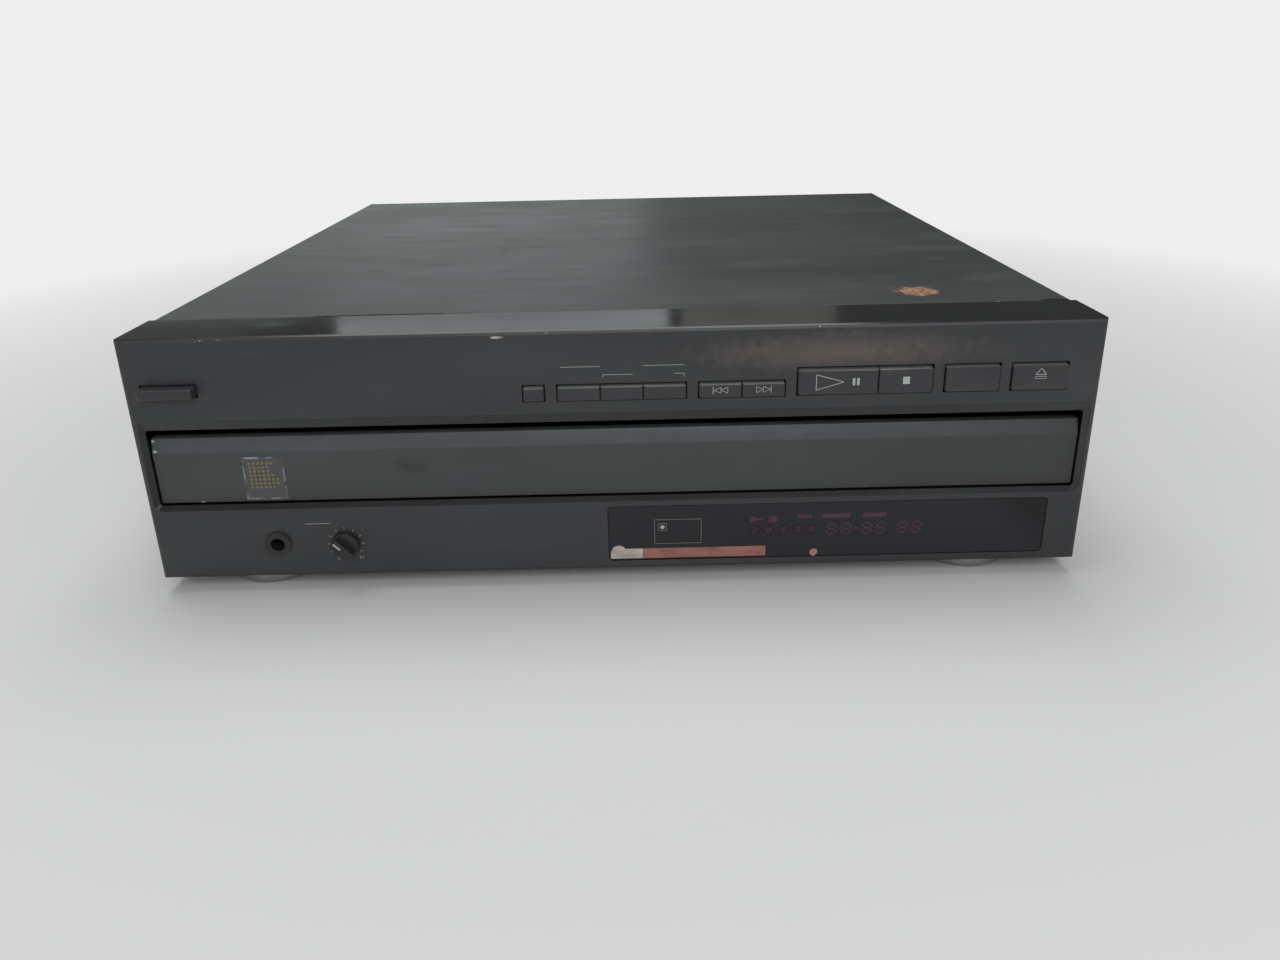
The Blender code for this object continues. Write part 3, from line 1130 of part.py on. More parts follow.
def make_carousel(material, cap_paint, drawer):
    """Turntable with five wells, a ring gear below and a cap over its hub."""
    centre = (0, CENTRE_Y, 0)
    bore = POST_HUB_RADIUS + GAP
    base = rod(centre, CAROUSEL_RADIUS, WEB_Z, CAROUSEL_TOP, "Z", LARGE)
    steps = []
    ring = prism(gear_outline(centre, RING_TEETH, RING_MODULE), RING_Z, WEB_Z + WELL_WEB / 2)
    bore_ring = rod(centre, RING_RADIUS - RING_WIDTH, RING_Z - OVERRUN, WEB_Z, "Z", FINE)
    sleeve = rod(centre, bore + SLEEVE_WALL, PAN_Z + GAP, WEB_Z + WELL_WEB / 2, "Z")
    hub_bore = rod(centre, bore, PAN_Z - OVERRUN, CAROUSEL_TOP + OVERRUN, "Z")
    wells = []
    slots = []
    for number in range(DISC_COUNT):
        angle = math.pi / 2 + math.tau * number / DISC_COUNT
        out = Vector((math.cos(angle), math.sin(angle), 0))
        along = Vector((-out.y, out.x, 0))
        well = Vector(centre) + WELL_CIRCLE * out
        rim = CAROUSEL_TOP + OVERRUN
        profile = [(0, rim), (WELL_RADIUS, rim), (WELL_RADIUS, WELL_Z), (SMALL_WELL_RADIUS, WELL_Z),
                   (SMALL_WELL_RADIUS, WELL_Z - SMALL_WELL_DEPTH), (0, WELL_Z - SMALL_WELL_DEPTH)]
        hollow = turned((0, 0, 0), profile, "Z", FINE)
        spin = Matrix.Translation(well) @ Matrix.Rotation(angle + math.pi / FINE, 4, 'Z')
        bmesh.ops.transform(hollow, matrix=spin, verts=hollow.verts)
        wells.append(hollow)
        half = PICKUP_SLOT / 2
        outline = [well + CAROUSEL_RADIUS * out + half * along, well + half * along]
        turns = ROUND // 2
        for step in range(1, turns):
            bend = math.pi * step / turns
            outline.append(well + half * (math.cos(bend) * along - math.sin(bend) * out))
        outline += [well - half * along, well + CAROUSEL_RADIUS * out - half * along]
        slots.append(prism([(point.x, point.y) for point in outline], WEB_Z - OVERRUN,
                           CAROUSEL_TOP + OVERRUN))
    steps += [(ADD, ring), (CUT, bore_ring), (ADD, sleeve), (CUT, hub_bore),
              (CUT, together(slots)), (CUT, together(wells))]
    piece("carousel", material, base, steps, origin=(0, CENTRE_Y, CAROUSEL_TOP), parent=drawer)
    low = CAROUSEL_TOP + GAP
    cap = turned(centre, [(0, low + CAP_HEIGHT), (CAP_RADIUS * CAP_CROWN_SHARE, low + CAP_HEIGHT),
                          (CAP_RADIUS, low + CAP_RIM), (CAP_RADIUS, low), (0, low)], "Z", FINE)
    piece("carousel_cap", cap_paint, cap, origin=(0, CENTRE_Y, CAROUSEL_TOP), parent=drawer)


def make_table_drive(plastic, metal, drawer):
    """Flat motor in the pan and the small gear that turns the carousel."""
    centre = (TABLE_X, CENTRE_Y, 0)
    gear_low = RING_Z
    gear_top = gear_low + TABLE_GEAR_HEIGHT
    outline = gear_outline(centre, TABLE_TEETH, RING_MODULE, math.pi / TABLE_TEETH)
    bore = rod(centre, SHAFT_BORE, gear_low - OVERRUN, gear_top + OVERRUN, "Z", COARSE)
    piece("table_gear", plastic, prism(outline, gear_low, gear_top), [(CUT, bore)],
          origin=(TABLE_X, CENTRE_Y, gear_low), parent=drawer)
    low = DRAWER_BOTTOM
    flange_low = PAN_Z + GAP
    flange_top = RING_Z - GAP
    profile = [(0, gear_top), (SHAFT_RADIUS, gear_top), (SHAFT_RADIUS, flange_top),
               (TABLE_MOTOR_RADIUS + TABLE_MOTOR_LEDGE, flange_top),
               (TABLE_MOTOR_RADIUS + TABLE_MOTOR_LEDGE, flange_low),
               (TABLE_MOTOR_RADIUS, flange_low), (TABLE_MOTOR_RADIUS, low), (0, low)]
    piece("table_motor", metal, turned(centre, profile, "Z"), origin=centre, parent=drawer)


def make_loading_train(plastic, rubber, metal):
    """Gears that work the rack, with the pulley, its belt and the loading motor."""
    centre = (LOAD_X, TRAIN_Y, 0)
    post_bore = GEAR_POST_RADIUS + GAP
    pinion = prism(gear_outline(centre, PINION_TEETH, RACK_MODULE), BIG_GEAR_TOP - GEAR_STEP, PINION_TOP)
    wheel = prism(gear_outline(centre, BIG_TEETH, TRAIN_MODULE), BIG_GEAR_Z, BIG_GEAR_TOP)
    bore = rod(centre, post_bore, BIG_GEAR_Z - OVERRUN, PINION_TOP + OVERRUN, "Z", COARSE)
    piece("loading_gear", plastic, wheel, [(ADD, pinion), (CUT, bore)],
          origin=(LOAD_X, TRAIN_Y, BIG_GEAR_Z))

    centre = (PULLEY_X, TRAIN_Y, 0)
    turn = math.pi / SMALL_TEETH
    small = prism(gear_outline(centre, SMALL_TEETH, TRAIN_MODULE, turn), PULLEY_TOP - GEAR_STEP / 2,
                  BIG_GEAR_TOP)
    bore = rod(centre, post_bore, PULLEY_Z - OVERRUN, BIG_GEAR_TOP + OVERRUN, "Z", COARSE)
    piece("pulley_gear", plastic, pulley_wheel(centre, PULLEY_GROOVE), [(ADD, small), (CUT, bore)],
          origin=(PULLEY_X, TRAIN_Y, PULLEY_Z))

    centre = (MOTOR_X, TRAIN_Y, 0)
    bore = rod(centre, SHAFT_BORE, PULLEY_Z - OVERRUN, PULLEY_TOP + OVERRUN, "Z", COARSE)
    piece("motor_pulley", plastic, pulley_wheel(centre, MOTOR_GROOVE), [(CUT, bore)],
          origin=(MOTOR_X, TRAIN_Y, PULLEY_Z))
    body_low = DECK_TOP + GAP
    body_top = PULLEY_Z - GAP - GEAR_STEP
    profile = [(0, PULLEY_TOP), (SHAFT_RADIUS, PULLEY_TOP), (SHAFT_RADIUS, body_top),
               (LOAD_MOTOR_RADIUS, body_top), (LOAD_MOTOR_RADIUS, body_low), (0, body_low)]
    piece("loading_motor", metal, turned(centre, profile, "Z"))

    middle = (PULLEY_Z + PULLEY_TOP) / 2
    low = middle - BELT_HEIGHT / 2
    high = middle + BELT_HEIGHT / 2
    inner = belt_outline(GAP)
    outer = belt_outline(GAP + BELT_THICK)
    piece("loading_belt", rubber, prism(outer, low, high),
          [(CUT, prism(inner, low - OVERRUN, high + OVERRUN))])


def pulley_wheel(centre, groove):
    """Pulley with a flat groove between two rims."""
    middle = (PULLEY_Z + PULLEY_TOP) / 2
    half = BELT_HEIGHT / 2 + GAP
    rim = groove + PULLEY_RIM
    profile = [(0, PULLEY_TOP), (rim, PULLEY_TOP), (rim, middle + half), (groove, middle + half),
               (groove, middle - half), (rim, middle - half), (rim, PULLEY_Z), (0, PULLEY_Z)]
    return turned(centre, profile, "Z")


def belt_outline(offset):
    """Outline round both pulley grooves at one distance from them."""
    large = PULLEY_GROOVE + offset
    small = MOTOR_GROOVE + offset
    lean = math.acos((large - small) / (PULLEY_X - MOTOR_X))
    points = []
    for step in range(ROUND + 1):
        angle = -(math.pi - lean) + (math.tau - 2 * lean) * step / ROUND
        points.append((PULLEY_X + large * math.cos(angle), TRAIN_Y + large * math.sin(angle)))
    turns = ROUND // 2
    for step in range(turns + 1):
        angle = math.pi - lean + 2 * lean * step / turns
        points.append((MOTOR_X + small * math.cos(angle), TRAIN_Y + small * math.sin(angle)))
    return points


def make_deck(material):
    """Deck on the chassis floor with the gear posts, slider ribs and hinge ears."""
    left = -DECK_LEFT
    front = FACE_Y + DECK_FRONT
    back = DECK_BACK_Y
    base = box((left, front, DECK_Z), (DECK_RIGHT, back, DECK_TOP))
    sunk = DECK_Z + DECK_SHEET / 2
    steps = []
    for x, top in ((LOAD_X, PINION_TOP - GEAR_STEP), (PULLEY_X, BIG_GEAR_TOP - GEAR_STEP)):
        steps.append((ADD, rod((x, TRAIN_Y, 0), GEAR_POST_RADIUS, sunk, top, "Z", COARSE)))
        seat = BIG_GEAR_Z if x == LOAD_X else PULLEY_Z
        steps.append((ADD, rod((x, TRAIN_Y, 0), 2 * GEAR_POST_RADIUS, sunk, seat - GAP, "Z", COARSE)))
    slider_front = SLIDER_BACK_Y - SLIDER_SHEET
    for near in (slider_front - GAP - RIB_THICK, SLIDER_BACK_Y + GAP):
        steps.append((ADD, box((-RIB_HALF, near, sunk), (RIB_HALF, near + RIB_THICK,
                                                         DECK_TOP + RIB_HEIGHT))))
    hole = HINGE_RADIUS + GAP
    for side in (-1, 1):
        across = sorted((side * EAR_INNER, side * (EAR_INNER + EAR_THICK)))
        ear = box((across[0], HINGE_Y - EAR_HALF, sunk), (across[1], HINGE_Y + EAR_HALF,
                                                          HINGE_HEIGHT + EAR_HALF))
        bore = rod((0, HINGE_Y, HINGE_HEIGHT), hole, across[0] - OVERRUN, across[1] + OVERRUN,
                   "X", COARSE)
        steps += [(ADD, ear), (CUT, bore)]
    piece("mechanism_deck", material, base, steps)


def make_pickup_frame(material, metal, pickup):
    """Hinged frame with its window, trunnions, front pin, rod lugs and motor shelf."""
    hinge = (0, HINGE_Y, HINGE_HEIGHT)
    base = box((-FRAME_HALF_WIDTH, FRAME_FRONT_Y, FRAME_Z), (FRAME_HALF_WIDTH, HINGE_Y, FRAME_TOP))
    beam_reach = EAR_INNER - LUG_WIDTH / 3
    beam = box((-beam_reach, HINGE_Y - HINGE_BEAM / 2, HINGE_HEIGHT - HINGE_BEAM_DROP),
               (beam_reach, HINGE_Y + HINGE_BEAM / 2, FRAME_TOP))
    trunnion = EAR_INNER + EAR_THICK + GAP
    bar = rod(hinge, HINGE_RADIUS, -trunnion, trunnion, "X", COARSE)
    window = box((-WINDOW_HALF, WINDOW_FRONT_Y, SHELF_TOP), (WINDOW_HALF, WINDOW_BACK_Y,
                                                            FRAME_TOP + OVERRUN))
    pin = rod((0, 0, PIN_HIGH_Z), LIFT_PIN_RADIUS, FRAME_FRONT_Y - LIFT_PIN_LENGTH,
              FRAME_FRONT_Y + LIFT_PIN_RADIUS / 2, "Y", COARSE)
    pin_block = box((-LIFT_PIN_RADIUS * 2, FRAME_FRONT_Y, PIN_HIGH_Z - LIFT_PIN_RADIUS - GAP),
                    (LIFT_PIN_RADIUS * 2, FRAME_FRONT_Y + LIFT_PIN_RADIUS, FRAME_Z + FRAME_SHEET / 2))
    steps = [(ADD, beam), (ADD, bar), (CUT, window), (ADD, pin_block), (ADD, pin)]
    lug_low = HINGE_HEIGHT - ROD_RADIUS - LUG
    for near in (WINDOW_FRONT_Y - GAP - LUG, WINDOW_BACK_Y + GAP):
        lug = box((-ROD_X - LUG_WIDTH, near, lug_low), (-ROD_X + LUG_WIDTH, near + LUG,
                                                       FRAME_Z + FRAME_SHEET / 2))
        steps.append((ADD, lug))
    rod_hole = rod((-ROD_X, 0, HINGE_HEIGHT), ROD_RADIUS + GAP, WINDOW_FRONT_Y - 2 * LUG,
                   WINDOW_BACK_Y + LUG + GAP + GAP, "Y", COARSE)
    steps.append((CUT, rod_hole))
    motor_y = SLED_WHEEL_Y
    side_x = FRAME_HALF_WIDTH + SHELF_SIDE + SHELF_SIDE
    wing = box((FRAME_HALF_WIDTH - SHELF_SIDE, motor_y - SHELF_HALF, FRAME_Z),
               (side_x, motor_y + SHELF_HALF, FRAME_TOP))
    side = box((side_x - SHELF_SIDE, motor_y - SHELF_HALF, SHELF_TOP - SHELF_SHEET),
               (side_x, motor_y + SHELF_HALF, FRAME_Z + FRAME_SHEET / 2))
    shelf = box((SHELF_INNER, motor_y - SHELF_HALF, SHELF_TOP - SHELF_SHEET),
                (side_x - SHELF_SIDE / 2, motor_y + SHELF_HALF, SHELF_TOP))
    shelf_hole = rod((SLED_GEAR_X, motor_y, 0), SHAFT_RADIUS + GAP, SHELF_TOP - SHELF_SHEET - OVERRUN,
                     SHELF_TOP + OVERRUN / 2, "Z", COARSE)
    steps += [(ADD, wing), (ADD, side), (ADD, shelf), (CUT, shelf_hole)]
    shaft_hole = rod((0, SPINDLE_Y, 0), SHAFT_RADIUS + GAP, FRAME_Z - OVERRUN, FRAME_TOP + OVERRUN,
                     "Z", COARSE)
    steps.append((CUT, shaft_hole))
    piece("pickup_frame", material, base, steps, origin=hinge, parent=pickup)
    reach = LUG + GAP
    guide = rod((-ROD_X, 0, HINGE_HEIGHT), ROD_RADIUS, WINDOW_FRONT_Y - reach, WINDOW_BACK_Y + reach,
                "Y", COARSE)
    piece("guide_rod", metal, guide, origin=(-ROD_X, LENS_Y, HINGE_HEIGHT), parent=pickup)


def make_platform(plastic, metal, pickup):
    """Spindle motor below the frame and the disc platform on its shaft."""
    centre = (0, SPINDLE_Y, 0)
    top = FRAME_Z - GAP
    hub_low = FRAME_TOP + GAP
    shaft_top = PLATFORM_TOP - PLATFORM_THICK - OVERRUN
    profile = [(0, shaft_top), (SHAFT_RADIUS, shaft_top), (SHAFT_RADIUS, top),
               (SPINDLE_MOTOR_RADIUS, top), (SPINDLE_MOTOR_RADIUS, top - SPINDLE_MOTOR_HEIGHT),
               (0, top - SPINDLE_MOTOR_HEIGHT)]
    piece("spindle_motor", metal, turned(centre, profile), origin=(0, SPINDLE_Y, top), parent=pickup)
    bore_top = shaft_top + GAP
    profile = [(0, PLATFORM_TOP + CONE_HEIGHT), (CONE_TIP, PLATFORM_TOP + CONE_HEIGHT),
               (CONE_RADIUS, PLATFORM_TOP), (PLATFORM_RADIUS, PLATFORM_TOP),
               (PLATFORM_RADIUS, PLATFORM_TOP - PLATFORM_THICK),
               (PLATFORM_HUB, PLATFORM_TOP - PLATFORM_THICK), (PLATFORM_HUB, hub_low),
               (SHAFT_BORE, hub_low), (SHAFT_BORE, bore_top), (0, bore_top)]
    piece("disc_platform", plastic, turned(centre, profile), origin=(0, SPINDLE_Y, PLATFORM_TOP),
          parent=pickup)


def make_sled(plastic, metal, glass, pickup):
    """Sled on its rod with the lens tower and rack, the lens, and the sled's gear and motor."""
    front = LENS_Y - SLED_FRONT
    back = LENS_Y + SLED_BACK
    top = SLED_Z + SLED_HEIGHT
    base = box((-SLED_LEFT, front, SLED_Z), (SLED_RIGHT, back, top))
    tower = box((-TOWER_HALF, LENS_Y - TOWER_FRONT, top - SLED_HEIGHT / 2),
                (TOWER_HALF, LENS_Y + TOWER_BACK, TOWER_TOP))
    rod_hole = rod((-ROD_X, 0, HINGE_HEIGHT), ROD_RADIUS + GAP, front - OVERRUN, back + OVERRUN,
                   "Y", COARSE)
    rack_end = LENS_Y + SLED_BACK
    outline = rack_outline(SLED_RACK_LINE, SLED_RIGHT - SLED_BELOW / 2, SLED_WHEEL_Y,
                           rack_end - SLED_RACK_LENGTH, rack_end, TRAIN_MODULE, 1)
    rack = prism(outline, SLED_RACK_Z, SLED_RACK_TOP)
    hollow = rod((0, LENS_Y, 0), LENS_STEM_RADIUS + GAP, TOWER_TOP - LENS_STEM - LENS_FLOAT,
                 TOWER_TOP + OVERRUN, "Z", COARSE)
    steps = [(ADD, tower), (CUT, rod_hole), (ADD, rack), (CUT, hollow)]
    piece("pickup_sled", plastic, base, steps, origin=(0, LENS_Y, HINGE_HEIGHT), parent=pickup)

    low = TOWER_TOP + LENS_FLOAT
    profile = [(0, low + LENS_HEIGHT), (LENS_TOP_RADIUS, low + LENS_HEIGHT),
               (LENS_RADIUS, low + LENS_HEIGHT / 2), (LENS_RADIUS, low), (LENS_STEM_RADIUS, low),
               (LENS_STEM_RADIUS, low - LENS_STEM), (0, low - LENS_STEM)]
    piece("pickup_lens", glass, turned((0, LENS_Y, 0), profile, "Z", COARSE),
          origin=(0, LENS_Y, low), parent=pickup)

    centre = (SLED_GEAR_X, SLED_WHEEL_Y, 0)
    gear = prism(gear_outline(centre, SLED_GEAR_TEETH, TRAIN_MODULE), SLED_RACK_Z, SLED_RACK_TOP)
    bore = rod(centre, SHAFT_BORE, SLED_RACK_Z - OVERRUN, SLED_RACK_TOP + OVERRUN, "Z", COARSE)
    piece("sled_gear", plastic, gear, [(CUT, bore)], origin=(SLED_GEAR_X, SLED_WHEEL_Y, SLED_RACK_Z),
          parent=pickup)
    motor_top = SHELF_TOP - SHELF_SHEET - GAP
    profile = [(0, SLED_RACK_TOP), (SHAFT_RADIUS, SLED_RACK_TOP), (SHAFT_RADIUS, motor_top),
               (SLED_MOTOR_RADIUS, motor_top), (SLED_MOTOR_RADIUS, motor_top - SLED_MOTOR_HEIGHT),
               (0, motor_top - SLED_MOTOR_HEIGHT)]
    piece("sled_motor", metal, turned(centre, profile, "Z"), origin=(SLED_GEAR_X, SLED_WHEEL_Y, motor_top),
          parent=pickup)


def make_lift_slider(material):
    """Upright plate whose sloping slot lifts the frame's front pin."""
    front = SLIDER_BACK_Y - SLIDER_SHEET
    low_z = DECK_TOP + GAP
    half = LIFT_PIN_RADIUS + SLIDER_SLOT_SPARE
    base = box((-SLIDER_TRAVEL - SLIDER_MARGIN - half, front, low_z),
               (SLIDER_MARGIN + half, SLIDER_BACK_Y, SLIDER_TOP))
    rise = PIN_HIGH_Z - PIN_LOW_Z
    slope = math.atan2(rise, -SLIDER_TRAVEL)
    turns = ROUND // 2
    outline = []
    for centre_x, centre_z, start in ((0, PIN_LOW_Z, slope + math.pi / 2),
                                      (-SLIDER_TRAVEL, PIN_HIGH_Z, slope - math.pi / 2)):
        for step in range(turns + 1):
            angle = start + math.pi * step / turns
            outline.append((centre_x + half * math.cos(angle), centre_z + half * math.sin(angle)))
    slot = prism(outline, front - OVERRUN, SLIDER_BACK_Y + OVERRUN, "Y")
    piece("lift_slider", material, base, [(CUT, slot)], origin=(0, front, low_z))


def make_bridge(material, puck_paint):
    """Bridge across the rails with folded edges, and the puck that floats in its hole."""
    near = SPINDLE_Y - BRIDGE_HALF
    far = SPINDLE_Y + BRIDGE_HALF
    foot_low = RAIL_TOP + GAP
    foot_high = foot_low + BRIDGE_SHEET
    outer = RAIL_INNER + BRIDGE_FOOT
    leg_in = RAIL_INNER
    leg_out = leg_in + BRIDGE_SHEET
    half = [(leg_in, BRIDGE_Z), (leg_in, foot_low), (outer, foot_low), (outer, foot_high),
            (leg_out, foot_high), (leg_out, BRIDGE_TOP)]
    outline = half + [(-x, z) for x, z in reversed(half)]
    base = prism(outline, near, far, "Y")
    steps = []
    reach = leg_in - GAP
    for low_y in (near + GAP, far - GAP - BRIDGE_SHEET):
        steps.append((ADD, box((-reach, low_y, BRIDGE_Z + BRIDGE_SHEET / 2),
                               (reach, low_y + BRIDGE_SHEET, BRIDGE_TOP + BRIDGE_EDGE))))
    centre = (0, SPINDLE_Y, 0)
    steps.append((CUT, rod(centre, BRIDGE_HOLE, BRIDGE_Z - OVERRUN, BRIDGE_TOP + OVERRUN, "Z", FINE)))
    piece("clamp_bridge", material, base, steps)
    flange_low = BRIDGE_TOP + GAP
    flange_top = flange_low + PUCK_FLANGE_THICK
    profile = [(0, flange_top), (PUCK_FLANGE, flange_top), (PUCK_FLANGE, flange_low),
               (PUCK_RADIUS, flange_low), (PUCK_RADIUS, PUCK_BOTTOM), (PUCK_RECESS_RADIUS, PUCK_BOTTOM),
               (PUCK_RECESS_RADIUS, PUCK_BOTTOM + PUCK_RECESS), (0, PUCK_BOTTOM + PUCK_RECESS)]
    piece("clamp_puck", puck_paint, turned(centre, profile, "Z", FINE), origin=(0, SPINDLE_Y, flange_low))


def build():
    """Clear the scene and make every piece."""
    for old in list(bpy.data.objects):
        bpy.data.objects.remove(old, do_unlink=True)
    face = paint("face_plastic", (0.045, 0.046, 0.048), 0.38)
    band = paint("drawer_plastic", (0.052, 0.054, 0.056), 0.36)
    key = paint("key_plastic", (0.040, 0.041, 0.043), 0.40)
    smoked = paint("smoked_window", (0.012, 0.012, 0.013), 0.12)
    sheet = paint("cover_sheet", (0.110, 0.115, 0.112), 0.45, 0.3)
    zinc = paint("zinc_sheet", (0.55, 0.55, 0.53), 0.40, 0.9)
    steel = paint("bright_steel", (0.60, 0.60, 0.60), 0.25, 1.0)
    dark_steel = paint("dark_screw", (0.05, 0.05, 0.05), 0.35, 0.8)
    foot = paint("foot_metal_look", (0.35, 0.35, 0.34), 0.35, 0.7)
    board = paint("circuit_board", (0.16, 0.10, 0.04), 0.55)
    iron = paint("core_iron", (0.12, 0.11, 0.10), 0.60, 0.5)
    glass = paint("display_glass", (0.05, 0.06, 0.06), 0.10)
    black = paint("black_plastic", (0.02, 0.02, 0.02), 0.50)
    grey = paint("grey_plastic", (0.10, 0.10, 0.10), 0.50)
    white = paint("white_plastic", (0.75, 0.75, 0.72), 0.45)
    rubber = paint("belt_rubber", (0.015, 0.015, 0.015), 0.80)
    lens = paint("lens_glass", (0.10, 0.12, 0.22), 0.05)

    make_front_panel(face)
    make_display(smoked, glass, board)
    make_button_board(board, black)
    make_buttons(key)
    make_chassis(zinc)
    make_cover(sheet, dark_steel)
    make_rear_fittings(black, black)
    make_feet(foot)
    make_main_board(board, iron, iron)
    make_face_fittings(black, grey, key)
    make_rails(black)
    drawer = group("drawer_group", (0, DRAWER_FACE_Y, DRAWER_BOTTOM))
    make_drawer_front(band, drawer)
    make_tray(black, drawer)
    make_carousel(black, grey, drawer)
    make_table_drive(white, steel, drawer)
    make_loading_train(white, rubber, steel)
    make_deck(black)
    pickup = group("pickup_group", (0, HINGE_Y, HINGE_HEIGHT), LIFT_ANGLE)
    make_pickup_frame(grey, steel, pickup)
    make_platform(black, steel, pickup)
    make_sled(black, steel, lens, pickup)
    make_lift_slider(white)
    make_bridge(zinc, black)


build()
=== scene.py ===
# %% [markdown]
# A five-disc player with a carousel drawer
#
# The hidden and moving parts come from a finished mechanical model, which is loaded first and
# never changed. This lesson then dresses it: it models the parts that show again with finer edges,
# prints the small signs on them, and mixes a finish for every surface. Everything is in metres. X
# runs along the front, Y runs from the front to the back, and Z runs up from the ground.

# %% Load the mechanical model
import math
import bmesh
import bpy
from mathutils import Matrix, Vector


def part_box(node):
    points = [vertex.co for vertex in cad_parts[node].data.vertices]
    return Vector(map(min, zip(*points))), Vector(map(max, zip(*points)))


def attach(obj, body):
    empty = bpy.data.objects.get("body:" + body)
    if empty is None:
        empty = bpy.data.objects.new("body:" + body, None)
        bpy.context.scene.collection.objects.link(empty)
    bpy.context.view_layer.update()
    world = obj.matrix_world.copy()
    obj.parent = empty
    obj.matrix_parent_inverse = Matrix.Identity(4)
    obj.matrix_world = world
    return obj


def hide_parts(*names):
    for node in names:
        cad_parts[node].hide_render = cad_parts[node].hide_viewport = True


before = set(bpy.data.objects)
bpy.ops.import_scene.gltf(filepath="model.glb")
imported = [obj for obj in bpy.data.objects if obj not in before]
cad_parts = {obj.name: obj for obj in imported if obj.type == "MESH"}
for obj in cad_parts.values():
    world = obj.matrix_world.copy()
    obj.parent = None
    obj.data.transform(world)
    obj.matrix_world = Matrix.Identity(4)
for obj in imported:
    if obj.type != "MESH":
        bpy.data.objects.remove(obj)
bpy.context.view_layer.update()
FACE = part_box("front_panel")[0][1]
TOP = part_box("front_panel")[1][2]
GAP = 0.0003
print("front face at", round(FACE, 4), "top at", round(TOP, 4), "nodes", len(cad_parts))

# %% [markdown]
# The camera stands close to the player and looks down on it a little, with a wide lens. Its place
# comes from the corners of the panel and of the cover in the photograph: with a known width there
# is only one spot from which all of them line up. The lens is shifted down, because the player
# sits above the middle of the picture.

# %% Camera
EYE = (0.0114, FACE - 0.36392, TOP + 0.10783)
RIGHT = Vector((0.99974754, -0.00867226, -0.02072806))
DOWN = Vector((-0.02240945, -0.31766405, -0.94793848))
AHEAD = Vector((0.00163621, 0.94816367, -0.3177782))
PICTURE_WIDE, PICTURE_TALL = 1280, 960
FOCAL_PIXELS, MIDDLE_ROW = 881.49, 359.76
SENSOR = 36.0
lens = bpy.data.cameras.new("camera")
lens.sensor_width = SENSOR
lens.lens = FOCAL_PIXELS / PICTURE_WIDE * SENSOR
lens.shift_y = (MIDDLE_ROW - PICTURE_TALL / 2) / PICTURE_WIDE
lens.clip_start = 0.01
camera = bpy.data.objects.new("camera", lens)
bpy.context.collection.objects.link(camera)
turn = Matrix((RIGHT, -DOWN, -AHEAD)).transposed()
camera.matrix_world = Matrix.Translation(EYE) @ turn.to_4x4()
bpy.context.scene.camera = camera
bpy.context.scene.view_settings.view_transform = 'Standard'
print("lens", round(lens.lens, 2), "shift", round(lens.shift_y, 4))

# %% [markdown]
# Every finish is a small sum of patterns. Writing such sums as node graphs by hand hides what they
# mean, so three small classes let them be written as Python sums: Wire stands for one output of a
# node, Graph for any tree of nodes, and Finish for a material in the making. All patterns read the
# place on the object in metres, so the size of a grain or a scratch is written as its real size.

# %% Shader sums in Python
class Wire:
    """One output of a node, usable in sums."""

    def __init__(self, graph, socket):
        self.graph = graph
        self.socket = socket

    def math(self, operation, other, swapped=False):
        first, second = (other, self) if swapped else (self, other)
        return self.graph.node("ShaderNodeMath", {"operation": operation}, {0: first, 1: second})

    def __add__(self, other):
        return self.math("ADD", other)

    def __sub__(self, other):
        return self.math("SUBTRACT", other)

    def __rsub__(self, other):
        return self.math("SUBTRACT", other, True)

    def __mul__(self, other):
        return self.math("MULTIPLY", other)

    def __truediv__(self, other):
        return self.math("DIVIDE", other)

    __radd__ = __add__
    __rmul__ = __mul__

    def rise(self, low, high, bottom=0.0, top=1.0):
        """Bottom below low, top above high, and a straight rise between."""
        return self.graph.node("ShaderNodeMapRange", {"clamp": True}, {
            "Value": self, "From Min": low, "From Max": high, "To Min": bottom, "To Max": top})

    def away(self, middle):
        """Distance from a value."""
        return self.graph.node("ShaderNodeMath", {"operation": "ABSOLUTE"}, {0: self - middle})


class Graph:
    """A tree of nodes that is built from wires."""

    def __init__(self, tree):
        self.tree = tree

    def feed(self, socket, value):
        """Link a wire to a socket, or set the socket to a plain value."""
        if isinstance(value, Wire):
            self.tree.links.new(value.socket, socket)
        elif hasattr(value, "__len__"):
            socket.default_value = (*value, 1)[:len(socket.default_value)]
        else:
            socket.default_value = value

    def node(self, kind, settings=None, sockets=None, out=0):
        """Add any node: its settings first, then its sockets."""
        made = self.tree.nodes.new(kind)
        for key, value in (settings or {}).items():
            setattr(made, key, value)
        for key, value in (sockets or {}).items():
            self.feed(made.inputs[key], value)
        return Wire(self, made.outputs[out])

    def part(self, vector, letter):
        """One of the three numbers of a vector."""
        return self.node("ShaderNodeSeparateXYZ", None, {0: vector}, letter)

    def length(self, vector):
        return self.node("ShaderNodeVectorMath", {"operation": "LENGTH"}, {0: vector}, "Value")

    def camera_ray(self):
        """One for what the camera sees by itself, zero for light and reflections."""
        return self.node("ShaderNodeLightPath", out="Is Camera Ray")


